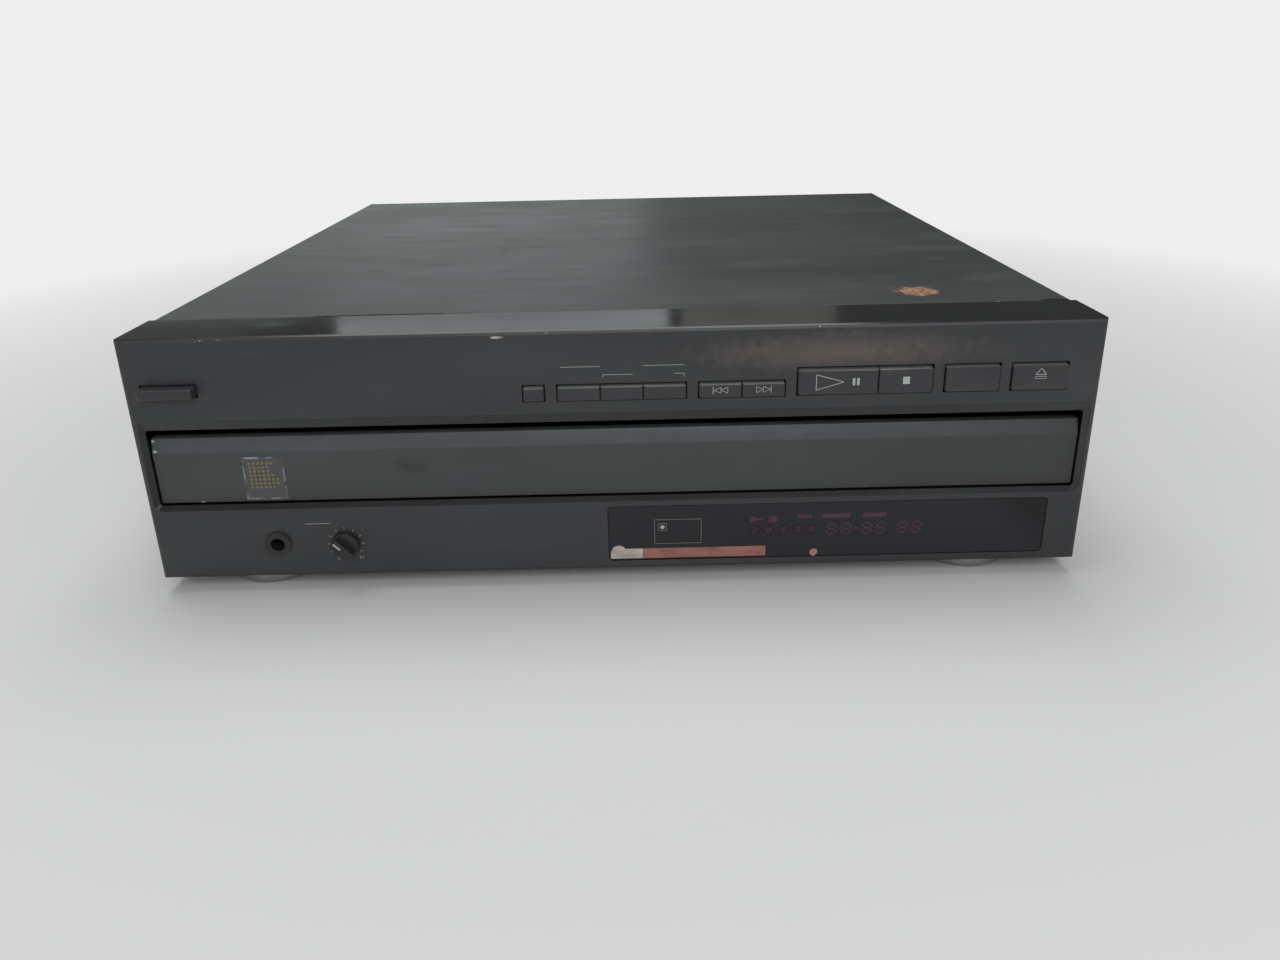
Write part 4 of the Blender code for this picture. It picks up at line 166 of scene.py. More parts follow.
class Finish(Graph):
    """A material in the making, built round one Principled shader."""

    def __init__(self, name, colour, roughness, metallic=0.0, coat=0.0):
        self.material = bpy.data.materials.new(name)
        self.material.use_nodes = True
        super().__init__(self.material.node_tree)
        self.shader = self.tree.nodes["Principled BSDF"]
        for key, value in (("Base Color", colour), ("Roughness", roughness),
                           ("Metallic", metallic), ("Coat Weight", coat)):
            self.feed(self.shader.inputs[key], value)
        self.where = self.node("ShaderNodeTexCoord", out="Object")

    def axis(self, letter):
        """Place along one axis, in metres."""
        return self.part(self.where, letter)

    def facing(self, letter):
        """How far the surface turns towards one axis, from -1 to 1."""
        return self.part(self.node("ShaderNodeTexCoord", out="Normal"), letter)

    def spread(self, size, stretch, shift=(0, 0, 0)):
        """Places counted in steps of size metres."""
        return self.node("ShaderNodeMapping", None, {
            "Vector": self.where, "Location": shift,
            "Scale": [1 / (size * part) for part in stretch]})

    def noise(self, size, detail=2.0, stretch=(1, 1, 1), shift=(0, 0, 0)):
        """Soft noise whose blotches are about size metres across."""
        return self.node("ShaderNodeTexNoise", {"noise_dimensions": "3D"}, {
            "Vector": self.spread(size, stretch, shift), "Scale": 1.0, "Detail": detail,
            "Roughness": 0.5})

    def cells(self, size, stretch=(1, 1, 1)):
        """Distance to the nearest of scattered points about size metres apart."""
        return self.node("ShaderNodeTexVoronoi", {"feature": "F1"}, {
            "Vector": self.spread(size, stretch), "Scale": 1.0})

    def mix(self, mask, first, second):
        """First colour where the mask is 0, second where it is 1."""
        made = self.tree.nodes.new("ShaderNodeMix")
        made.data_type = 'RGBA'
        for place, value in ((0, mask), (6, first), (7, second)):
            self.feed(made.inputs[place], value)
        return Wire(self, made.outputs[2])

    def painted(self, colour, rough, height=None, depth=0.0):
        """Colour, gloss, and a bump of depth metres where the height is 1."""
        self.feed(self.shader.inputs["Base Color"], colour)
        self.feed(self.shader.inputs["Roughness"], rough)
        if height is not None:
            self.feed(self.shader.inputs["Normal"], self.node("ShaderNodeBump", None, {
                "Height": height, "Distance": depth, "Strength": 1.0}))
        return self.material


def shade(value):
    """Linear colour of a grey or a colour given as it looks, from 0 to 255."""
    parts = value if hasattr(value, "__len__") else (value, value, value)
    return tuple(part / 255 / 12.92 if part < 11 else ((part / 255 + 0.055) / 1.055) ** 2.4
                 for part in parts)


print("shade of a mid grey", [round(part, 3) for part in shade(128)])

# %% [markdown]
# The studio is a pale floor, a pale world and five soft lamps. A dark, half glossy object is drawn
# by what it reflects more than by the light that falls on it. So three narrow lamps stand behind
# it, where the flat cover and the strip along the top mirror them towards the camera. The world
# grows dimmer towards the back, so that these mirrored lamps stand out. A large lamp hangs above,
# and another one in front lights the face.

# %% Floor, world and lamps
PAPER = (0.86, 0.86, 0.86)
FLOOR_WIDE = 30
FADE_FROM, FADE_TO = 0.35, 0.85


def paper_sweep():
    """Pale paper that keeps the shadow near the player and fades to an even white further out."""
    made = Finish("floor_paper", (0.70, 0.70, 0.70), 0.9)
    light = made.node("ShaderNodeEmission", None, {"Color": PAPER})
    far = made.length(made.where).rise(FADE_FROM, FADE_TO)
    mixed = made.node("ShaderNodeMixShader", None, {
        "Fac": far * made.camera_ray(), 1: Wire(made, made.shader.outputs[0]), 2: light})
    made.feed(made.tree.nodes["Material Output"].inputs["Surface"], mixed)
    return made.material


bpy.ops.object.select_all(action='DESELECT')
bpy.ops.mesh.primitive_plane_add(size=FLOOR_WIDE, location=(0, 0, 0))
floor = bpy.context.active_object
floor.name = "floor"
floor.data.materials.append(paper_sweep())

world = bpy.data.worlds.new("studio")
bpy.context.scene.world = world
world.use_nodes = True
sky = Graph(world.node_tree)
sky.tree.nodes.clear()
seen = sky.node("ShaderNodeBackground", None, {"Color": PAPER, "Strength": 1.0})
back = sky.part(sky.node("ShaderNodeTexCoord", out="Generated"), "Y")
glow = sky.node("ShaderNodeBackground", None, {
    "Color": (0.80, 0.82, 0.84), "Strength": back.rise(0.2, 0.75, 0.44, 0.10)})
both = sky.node("ShaderNodeMixShader", None, {"Fac": sky.camera_ray(), 1: glow, 2: seen})
sky.feed(sky.tree.nodes.new("ShaderNodeOutputWorld").inputs["Surface"], both)

LAMPS = (
    ("lamp_above", (-0.1, 0.2, 1.5), (0, 0, 0.1), (1.4, 1.1), 13, (1, 1, 1)),
    ("lamp_front", (0.2, -1.5, 1.1), (0, -0.2, 0.05), (1.2, 0.8), 10, (1, 1, 1)),
    ("lamp_back", (-0.85, 2.2, 0.40), (0, 0, 0.1), (1.9, 0.36), 2.2, (0.92, 1, 1)),
    ("lamp_strip_left", (-0.41, 2.2, 0.86), (0, 0, 0.1), (1.07, 0.22), 0.60, (0.90, 0.99, 1)),
    ("lamp_strip_right", (0.40, 2.2, 0.86), (0, 0, 0.1), (0.50, 0.22), 0.095, (1, 0.95, 0.86)))
for name, place, target, size, power, colour in LAMPS:
    data = bpy.data.lights.new(name, 'AREA')
    data.shape = 'RECTANGLE'
    data.size, data.size_y = size
    data.energy = power
    data.color = colour
    lamp = bpy.data.objects.new(name, data)
    bpy.context.collection.objects.link(lamp)
    lamp.location = place
    lamp.rotation_euler = (Vector(target) - Vector(place)).to_track_quat('-Z', 'Y').to_euler()
    lamp.visible_camera = False
print("lamps", len(LAMPS))

# %% [markdown]
# The plastics come first. The face is moulded in a dark grey plastic with a fine spark-eroded
# grain, and its top strip is polished: it mirrors the room like dark glass. Years of handling have
# left it with faint smears, which show only as a change of gloss. So one recipe serves all the
# plastics, with a grain for the bump, a slow cloud for the gloss and a little dust.

# %% Plastics
def moulded(name, tone, gloss, cloud=0.035, dust=0.10, depth=0.000006):
    """Dark moulded plastic with a fine grain, uneven gloss and a little dust."""
    made = Finish(name, shade(tone), gloss)
    smear = made.noise(cloud, 3.0, (1.6, 1, 0.7))
    fine = made.noise(0.00035, 1.0)
    speck = made.cells(0.004).rise(0.10, 0.03)
    light = [min(part * 1.22 + 0.004, 1) for part in shade(tone)]
    dusty = [part * 0.7 + 0.06 for part in shade(tone)]
    body = made.mix(smear.rise(0.35, 0.7), shade(tone), light)
    matt = smear.rise(0.3, 0.7, gloss - 0.05, gloss + 0.07) + fine.rise(0.3, 0.7, -0.02, 0.02)
    return made.painted(made.mix(speck * dust * smear, body, dusty), matt, fine, depth)


def blot(made, place, reach, axes="XY", edge=0.35, size=0.006):
    """Mask of 1 inside a ragged blot, measured along two axes."""
    ragged = made.noise(size, 3.0) - 0.5
    parts = {letter: (made.axis(letter) - centre) / wide
             for letter, centre, wide in zip(axes, place, reach)}
    length = made.length(made.node("ShaderNodeCombineXYZ", None, parts))
    return (length + ragged * 1.4).rise(1.0 + edge / 2, 1.0 - edge / 2)


def panel_plastic():
    """Face plastic: grained in front, polished on the top strip, with painted shade in the recess.
    """
    made = Finish("panel_plastic", shade((50, 51, 53)), 0.4)
    x, y, z = (made.axis(letter) for letter in "XYZ")
    up = made.facing("Z")
    strip = up.rise(0.55, 0.8)
    smear = made.noise(0.05, 3.0, (1.8, 1, 0.6))
    fine = made.noise(0.0004, 1.0)
    rub = made.noise(0.012, 4.0, (4, 1, 1)).rise(0.62, 0.78)
    body = made.mix(smear.rise(0.3, 0.75), shade((46, 48, 50)), shade((57, 59, 61)))
    body = made.mix(rub * 0.25, body, shade((80, 80, 80)))
    low_right = x.rise(0.02, 0.21) * z.rise(TOP - 0.078, TOP - 0.086)
    body = made.mix(low_right * 0.6, body, shade((36, 37, 38)))
    soot = blot(made, (0.098, TOP - 0.0125), (0.042, 0.0058), "XZ", 1.5, 0.004)
    body = made.mix(soot * (rub * 0.3 + 0.42), body, shade((126, 110, 102)))
    # Front top edge: the blot is a painted glint, the pale nicks partly a painted highlight.
    bright_spots = blot(made, (-0.0497, TOP - 0.0026), (0.0022, 0.0005), "XZ", 0.6, 0.002)
    bright_spots = bright_spots + made.cells(0.005, (1, 1, 0.3)).rise(0.14, 0.08) \
        * z.rise(TOP - 0.0022, TOP - 0.0012) \
        * made.noise(0.04, 2.0, shift=(3, 0, 0)).rise(0.52, 0.58)
    body = made.mix(bright_spots * 0.8, body, shade((196, 196, 194)))
    # Painted shade in the recess: brow, bevels, an outline at the bevel edge and the walls.
    deep = x.away(0).rise(0.2132, 0.2126) * z.rise(TOP - 0.036, TOP - 0.038)
    frame_slope = y.rise(FACE + 0.0002, FACE + 0.0004) * deep
    inside = y.rise(FACE + 0.0019, FACE + 0.0022) * deep
    shady = (up.rise(0.2, 0.5) + made.facing("X").rise(0.2, 0.5)) * x.rise(0.21, 0.02)
    brow_shade = up.rise(-0.1, -0.3) * frame_slope
    line = y.rise(FACE + 0.00003, FACE + 0.00006) * y.rise(FACE + 0.0003, FACE + 0.0002)
    for mask, tone in ((brow_shade * 0.55, (34, 35, 36)), (frame_slope * shady * 0.75, (20, 21, 22)),
                       (line * deep * 0.7, (16, 16, 17)), (inside, (13, 13, 14))):
        body = made.mix(mask, body, shade(tone))
    polished = made.mix(smear, shade((22, 23, 24)), shade((34, 35, 36)))
    matt = smear.rise(0.3, 0.7, 0.38, 0.5) + fine.rise(0.3, 0.7, -0.02, 0.02) \
        - frame_slope * (1 - inside) * 0.14 + inside * 0.3
    gloss = smear.rise(0.3, 0.8, 0.10, 0.20) + rub * 0.10
    return made.painted(made.mix(strip, body, polished), matt * (1 - strip) + gloss * strip,
                        fine * (1 - strip), 0.000006)


def key_plastic(name, worn):
    """Key plastic: dust, wear and a painted highlight on edges facing up; paler facing down."""
    made = Finish(name, shade((42, 43, 45)), 0.36)
    cloud = made.noise(0.02, 3.0)
    # Up-facing edges: dust, wear and a painted highlight; worn sets how strong these are.
    ledge_highlight_and_dust = made.facing("Z").rise(0.12, 0.5)
    low_edge = made.facing("Z").rise(-0.12, -0.5)
    body = made.mix(cloud.rise(0.3, 0.7), shade((45, 46, 48)), shade((54, 55, 57)))
    body = made.mix(ledge_highlight_and_dust * worn, body, shade((112, 114, 114)))
    body = made.mix(low_edge * worn * 0.6, body, shade((92, 94, 94)))
    return made.painted(body, cloud.rise(0.3, 0.7, 0.3, 0.42), made.noise(0.0003, 1.0), 0.000005)


PANEL = panel_plastic()
KEY = key_plastic("key_plastic", 0.6)
POWER = key_plastic("power_plastic", 0.1)
DRAWER = moulded("drawer_plastic", (58, 60, 62), 0.33, cloud=0.06)
BLACK = moulded("black_moulding", (34, 34, 35), 0.45)
ACETAL = moulded("white_acetal", (222, 221, 214), 0.42, dust=0.0, depth=0.000002)
print("plastics", len(bpy.data.materials))

# %% [markdown]
# The cover is a steel sheet, painted satin black and baked. Sheet steel of this thickness is bent
# on a press brake after it is cut, and the paint wears where things are stood on it: there are
# dull scuffs on the left, one chip near the front right corner where the paint has gone down to
# rusty steel, and small bright nicks along the front edge. At two places of that edge the sheet
# stands off a little; that gap is not modelled, and its shade is painted on as a dark line.

# %% Painted cover
SCUFFS = (((-0.070, -0.022), (0.003, 0.016)), ((-0.105, -0.055), (0.012, 0.003)),
          ((-0.128, -0.075), (0.010, 0.002)), ((0.105, -0.095), (0.040, 0.010)))
GAP_SHADES = ((-0.105, 0.0018, 0.032, 0.0011), (0.2075, 0.0024, 0.0078, 0.0020))


def cover_paint():
    """Satin black paint with scuffs, a rusty chip, nicks and painted shade under two gaps."""
    made = Finish("cover_paint", shade(58), 0.42)
    orange_peel = made.noise(0.0011, 2.0)
    cloud = made.noise(0.11, 3.0, (1.5, 1, 1))
    haze = made.noise(0.022, 4.0, (2.2, 0.7, 1))
    lint = made.noise(0.0016, 2.0, (1, 9, 1)).rise(0.68, 0.76)
    body = made.mix(cloud.rise(0.3, 0.7), shade((54, 57, 57)), shade((66, 70, 69)))
    body = made.mix(haze.rise(0.52, 0.8) * 0.30, body, shade((96, 99, 98)))
    body = made.mix(lint * 0.12, body, shade(120))
    scuff = sum(blot(made, place, reach, "XY", 1.3) for place, reach in SCUFFS)
    body = made.mix(scuff * 0.45, body, shade((30, 30, 30)))
    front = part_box("top_cover")[0].y
    # The gaps are not modelled: their shade is painted as dark lines near the front edge.
    gap = sum(blot(made, (x, front + behind), (wide, deep), "XY", 0.6)
              for x, behind, wide, deep in GAP_SHADES)
    body = made.mix(gap, body, shade((2, 2, 2)))
    chip = blot(made, (0.1485, FACE + 0.055), (0.0095, 0.0080), "XY", 0.25)
    grain = made.noise(0.002, 3.0)
    rust = made.mix(grain.rise(0.4, 0.62), shade((120, 78, 52)), shade((176, 138, 108)))
    bright_spots = made.cells(0.006, (1, 0.5, 1)).rise(0.16, 0.08) \
        * made.axis("Y").rise(FACE + 0.038, FACE + 0.032) * made.noise(0.03, 2.0).rise(0.50, 0.58)
    body = made.mix(bright_spots * 0.8, body, shade((190, 190, 188)))
    matt = cloud.rise(0.3, 0.7, 0.33, 0.40) + haze.rise(0.4, 0.8, 0.0, 0.10)
    matt = matt + chip * 0.3 + gap * 0.6
    return made.painted(made.mix(chip, body, rust), matt,
                        orange_peel * 0.5 - chip * 8.0 + grain * chip * 4.0, 0.000012)


COVER = cover_paint()
print("cover", COVER.name)

# %% [markdown]
# The inside is made of plain workshop metals: zinc plated sheet, bright turned steel and a stack
# of laminations round the transformer. Plated sheet shows large soft grains, and turned steel
# shows fine rings. None of it is clean, so each gets a little dust in its gloss.

# %% Metals
def sheet_metal(name, tone, rough, spangle=0.006):
    """Plated sheet with soft grains and dull patches."""
    made = Finish(name, shade(tone), rough, 1.0)
    grains = made.cells(spangle)
    cloud = made.noise(0.04, 3.0)
    dark = [part * 0.72 for part in shade(tone)]
    return made.painted(made.mix((grains.rise(0.1, 0.9) + cloud) * 0.5, shade(tone), dark),
                        cloud.rise(0.3, 0.7, rough - 0.07, rough + 0.1) + grains * 0.08,
                        grains, 0.000004)


def turned_metal(name, tone, rough):
    """Machined metal with fine tool marks."""
    made = Finish(name, shade(tone), rough, 1.0)
    marks = made.noise(0.0004, 2.0, (6, 6, 1))
    dark = [part * 0.75 for part in shade(tone)]
    return made.painted(made.mix(made.noise(0.01, 2.0).rise(0.3, 0.7), shade(tone), dark),
                        marks.rise(0.3, 0.7, rough - 0.06, rough + 0.08), marks, 0.000003)


ZINC = sheet_metal("zinc_sheet", (168, 170, 166), 0.36)
BRIGHT = turned_metal("bright_steel", (205, 206, 208), 0.22)
SCREW = turned_metal("dark_screw", (52, 52, 54), 0.42)
FOOT_METAL = turned_metal("foot_metal", (160, 158, 154), 0.16)
CORE = sheet_metal("core_iron", (92, 90, 88), 0.5, 0.003)
print("metals", ZINC.name, BRIGHT.name, SCREW.name, FOOT_METAL.name, CORE.name)

# %% [markdown]
# Circuit boards are brown paper and resin with tracks below the lacquer. The mask of the tracks is
# a grid of rounded lines, broken up by noise, which is enough for a board that is seen through a
# gap.

# %% Boards, rubber, glass and window
def board():
    """Brown board with paler tracks under the lacquer."""
    made = Finish("circuit_board", shade((112, 84, 44)), 0.4)
    lines = made.noise(0.006, 1.0, (1, 4, 1)).away(0.5).rise(0.03, 0.015)
    holes = made.cells(0.005).rise(0.16, 0.12)
    body = made.mix(lines, shade((104, 78, 42)), shade((134, 108, 60)))
    return made.painted(made.mix(holes, body, shade((180, 180, 176))),
                        made.noise(0.02, 2.0).rise(0.3, 0.7, 0.3, 0.5), lines, 0.00003)


def rubber():
    """Black rubber with a dry bloom."""
    made = Finish("belt_rubber", shade(26), 0.75)
    bloom = made.noise(0.008, 3.0)
    return made.painted(made.mix(bloom.rise(0.4, 0.8), shade(24), shade(48)),
                        bloom.rise(0.3, 0.7, 0.66, 0.85), made.noise(0.0005, 1.0), 0.00001)


def smoked():
    """Smoked window: dark and glossy, with a faint veil that ends near its right side."""
    made = Finish("smoked_window", shade((14, 13, 15)), 0.1)
    made.shader.inputs["Specular IOR Level"].default_value = 0.22
    haze = made.noise(0.03, 3.0)
    hair = made.noise(0.0012, 1.0, (14, 1, 0.8)).rise(0.72, 0.78)
    veil = (made.axis("X") + made.axis("Z") * 0.9).rise(0.222, 0.204)
    body = made.mix(haze.rise(0.4, 0.8), shade((27, 28, 30)), shade((37, 36, 39)))
    return made.painted(made.mix(veil * 0.6, body, shade((50, 51, 54))),
                        haze.rise(0.3, 0.7, 0.07, 0.14) + hair * 0.2, haze, 0.00002)


def lens_glass():
    """Blue tinted lens glass, with a painted purple sheen where it is seen at a grazing angle."""
    made = Finish("lens_glass", shade((60, 78, 120)), 0.06, coat=0.6)
    # Paler and purple towards a grazing view: a painted sheen.
    edge = made.node("ShaderNodeLayerWeight", None, {"Blend": 0.4}, "Facing")
    return made.painted(made.mix(edge, shade((46, 60, 110)), shade((150, 120, 170))),
                        made.noise(0.004, 2.0).rise(0.3, 0.7, 0.04, 0.1))


def tray_plastic(name, level):
    """Dull black tray plastic: painted shade below its upper level, and fine rubs from the discs.
    """
    made = Finish(name, shade((44, 45, 46)), 0.42)
    # Painted shade: darker below the upper level, in the wells.
    lit_upper_level = made.axis("Z").rise(level - 0.0008, level - 0.0004)
    rubs = made.noise(0.003, 3.0, (1, 7, 1)).rise(0.64, 0.76)
    body = made.mix(lit_upper_level, shade((33, 34, 36)), shade((52, 53, 55)))
    return made.painted(made.mix(rubs * 0.14, body, shade((120, 120, 120))),
                        made.noise(0.03, 3.0).rise(0.3, 0.7, 0.36, 0.48) + rubs * 0.1,
                        made.noise(0.0004, 1.0), 0.000006)


TABLE = tray_plastic("carousel_plastic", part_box("carousel")[1].z)
TRAY = tray_plastic("tray_plastic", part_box("carousel")[1].z)
BOARD = board()
RUBBER = rubber()
WINDOW = smoked()
LENS = lens_glass()
print("other finishes", BOARD.name, RUBBER.name, WINDOW.name, LENS.name)

# %% [markdown]
# Each node of the mechanical model now gets the finish of what it is made of. Nodes that are not
# listed get the dark screw finish if they are screws and black moulding otherwise, so that nothing
# keeps a plain placeholder.

# %% Dress the mechanical model
DRESS = {
    PANEL: ("front_panel",),
    WINDOW: ("display_window",),
    COVER: ("top_cover",),
    DRAWER: ("drawer_front",),
    KEY: ("power_button", "time_button", "program_button", "shuffle_button", "continue_button",
          "previous_button", "next_button", "play_button", "stop_button", "disc_skip_button",
          "open_close_button", "level_knob"),
    BOARD: ("main_board",),
    TABLE: ("carousel", "carousel_cap"),
    TRAY: ("drawer_tray",),
    ZINC: ("bottom_chassis", "rear_panel", "mechanism_deck", "clamp_bridge"),
    BRIGHT: ("guide_rod", "disc_platform"),
    CORE: ("power_transformer", "loading_motor", "table_motor", "spindle_motor", "sled_motor"),
    RUBBER: ("loading_belt",),
    LENS: ("pickup_lens", "display_tube"),
    ACETAL: ("table_gear", "loading_gear", "pulley_gear", "motor_pulley", "sled_gear",
             "lift_slider"),
}
kinds = {name: material for material, names in DRESS.items() for name in names}
for name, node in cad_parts.items():
    if name in kinds:
        finish = kinds[name]
    else:
        finish = SCREW if "screw" in name else BLACK
    if not node.data.materials:
        node.data.materials.append(finish)
    for place in range(len(node.data.materials)):
        node.material_slots[place].material = finish
print("nodes without an own line:", sorted(set(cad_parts) - set(kinds)))

# %% [markdown]
# Now the pieces that are seen up close are modelled again with finer edges. All of them start as a
# block or a disc of the right size, like a rough casting, and are then worked with the same few
# edit tools: inset, extrude, bevel and spin. A small helper picks the faces or edges by where they
# are, because that can be read and changed more easily than a list of numbers.

# %% Editing helpers
TINY = 0.00001


def select_only(piece):
    bpy.ops.object.select_all(action='DESELECT')
    piece.select_set(True)
    bpy.context.view_layer.objects.active = piece


def edit(piece, kind, test, work):
    """Select the faces or edges that pass the test, then run one edit-mode tool on them."""
    select_only(piece)
    bpy.ops.object.mode_set(mode='EDIT')
    bpy.ops.mesh.select_mode(type=kind)
    bpy.ops.mesh.select_all(action='DESELECT')
    mesh = bmesh.from_edit_mesh(piece.data)
    for item in (mesh.faces if kind == 'FACE' else mesh.edges):
        item.select_set(bool(test(item)))
    bmesh.update_edit_mesh(piece.data)
    work()
    bpy.ops.object.mode_set(mode='OBJECT')


def every(item):
    return True


def middle(item):
    """Middle point of a face or an edge."""
    return sum((vert.co for vert in item.verts), Vector()) / len(item.verts)


def round_edges(piece, test, radius, segments):
    """Bevel the edges that pass the test."""
    edit(piece, 'EDGE', test, lambda: bpy.ops.mesh.bevel(
        offset=radius, offset_type='ABSOLUTE', segments=segments, affect='EDGES'))


def finish_piece(piece, material, body, angle=35):
    """Shade, paint and hang a piece on the body that carries it."""
    edit(piece, 'FACE', every, lambda: bpy.ops.mesh.normals_make_consistent(inside=False))
    bpy.ops.object.shade_smooth_by_angle(angle=math.radians(angle))
    if not piece.data.materials:
        piece.data.materials.append(material)
    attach(piece, body)
    return piece


def block(name, low, high):
    """Box between two corners, with its place in its mesh."""
    bpy.ops.object.select_all(action='DESELECT')
    size = [b - a for a, b in zip(low, high)]
    place = [(a + b) / 2 for a, b in zip(low, high)]
    bpy.ops.mesh.primitive_cube_add(size=1, location=place, scale=size)
    bpy.ops.object.transform_apply(location=True, rotation=True, scale=True)
    piece = bpy.context.active_object
    piece.name = name
    return piece


def new_object(name, data):
    piece = bpy.data.objects.new(name, data)
    bpy.context.collection.objects.link(piece)
    return piece


def lathe(name, centre, profile, axis="Z", steps=56):
    """Spin a profile of (radius, height) points round an axis through the centre."""
    x, y, z = centre
    upright = axis == "Z"
    piece = new_object(name, bpy.data.meshes.new(name))
    points = [(x + r, y, z + h) if upright else (x + r, y + h, z) for r, h in profile]
    piece.data.from_pydata(points, [(k, k + 1) for k in range(len(profile) - 1)], [])
    edit(piece, 'EDGE', every, lambda: bpy.ops.mesh.spin(
        steps=steps, angle=math.tau, center=centre, axis=(0, 0, 1) if upright else (0, 1, 0)))
    edit(piece, 'EDGE', every, lambda: bpy.ops.mesh.remove_doubles(threshold=TINY))
    return piece


def copy_of(source, name, shift):
    """Copy with its own mesh, moved inside it, so that the object stays at the origin."""
    copy = new_object(name, source.data.copy())
    copy.data.transform(Matrix.Translation(shift))
    return copy


def join(first, *others):
    """Make one object of several."""
    select_only(first)
    for other in others:
        other.select_set(True)
    bpy.ops.object.join()
    return first


print("helpers ready")

# %% [markdown]
# The drawer front is one injection-moulded bar. Its upper part leans back, so that it catches the
# light from above and looks paler than the rest; its finish paints the slope paler too, as a
# painted highlight. It is made from a block: its face is cut across at the foot of the slope, the
# upper corners are pushed back, and then all the corners get the small radius that every moulding
# needs.

# %% Drawer front
low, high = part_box("drawer_front")
SLOPE_HEIGHT, SLOPE_DEPTH = 0.0068, 0.0016
MOULD_ROUND = 0.00035
NICKS = ((low.x + 0.0006, high.z - 0.0012), (low.x + 0.0016, high.z - 0.0058),
         (low.x + 0.0190, low.z + 0.0002))
bar = block("drawer_bar", low, high)
edit(bar, 'FACE', lambda face: middle(face).y < low.y + MOULD_ROUND, lambda: bpy.ops.mesh.bisect(
    plane_co=(0, low.y, high.z - SLOPE_HEIGHT), plane_no=(0, 0, 1)))
for vert in bar.data.vertices:
    if vert.co.z > high.z - MOULD_ROUND and vert.co.y < low.y + MOULD_ROUND:
        vert.co.y = low.y + SLOPE_DEPTH
round_edges(bar, lambda edge: middle(edge).y < high.y - MOULD_ROUND, MOULD_ROUND, 3)


def drawer_finish():
    """Drawer: painted highlight and dust on the slope, a rubbed mark, nicks, darker to the right.
    """
    made = Finish("drawer_finish", shade((60, 62, 63)), 0.4)
    foot = high.z - SLOPE_HEIGHT
    # Slope painted paler: a painted highlight, with dust over it.
    slope_highlight_and_dust = made.axis("Z").rise(foot - 0.0004, foot + 0.0004)
    cloud = made.noise(0.05, 3.0, (2.4, 1, 0.8))
    dust = made.noise(0.006, 4.0, (3, 1, 1)).rise(0.5, 0.75)
    rub = blot(made, (-0.094, high.z - 0.0155), (0.006, 0.003), "XZ", 1.4)
    body = made.mix(cloud.rise(0.3, 0.7), shade((58, 60, 61)), shade((67, 69, 70)))
    body = made.mix(slope_highlight_and_dust * (dust * 0.3 + 0.5), body, shade((88, 93, 95)))
    body = made.mix(rub * 0.6, body, shade((40, 40, 40)))
    body = made.mix(made.axis("X").rise(0.06, 0.21) * 0.5, body, shade((44, 44, 44)))
    nicks = sum(blot(made, place, (0.0008, 0.0005), "XZ", 0.6, 0.002) for place in NICKS)
    return made.painted(made.mix(nicks * 0.8, body, shade((205, 206, 204))),
                        cloud.rise(0.3, 0.7, 0.34, 0.46) + dust * 0.05,
                        made.noise(0.0004, 1.0), 0.000006)


finish_piece(bar, drawer_finish(), "drawer")
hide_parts("drawer_front")
print("drawer front", [round(part, 4) for part in high - low])

# %% [markdown]
# The eleven keys are caps that slide in holes of the panel. Each has a flat face with a narrow
# sloped border, widest at its upper edge, so that the light draws a paler line there; the finish
# paints that line paler still, as a painted highlight. Behind the face a stem reaches a switch on
# the board. One recipe makes them all, because they differ only in size, and in whether a
# neighbour lies against their left or right side: there the corners stay square.

# %% Keys
KEY_BORDER = 0.0006
KEY_SLOPE = 0.0005
KEY_ROUND = 0.0001
KEY_CORNER = 0.0010
CAP_DEEP = 0.004
FRONT_SHARE, STEM_SHARE = 0.93, 0.3
NEAR = 0.0001
FREE, BETWEEN, LEFT, RIGHT_END = 2, 0, 1, -1
KEYS = {"time_button": FREE, "program_button": LEFT, "shuffle_button": BETWEEN,
        "continue_button": RIGHT_END, "previous_button": LEFT, "next_button": RIGHT_END,
        "play_button": LEFT, "stop_button": RIGHT_END, "disc_skip_button": FREE,
        "open_close_button": FREE, "power_button": FREE}


def cap_of(node):
    """Corners of the part of a key that shows: what lies ahead of the panel's back."""
    ahead = [vert.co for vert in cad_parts[node].data.vertices if vert.co.y < FACE + 0.001]
    return [Vector([pick(co[k] for co in ahead) for k in range(3)]) for pick in (min, max)]


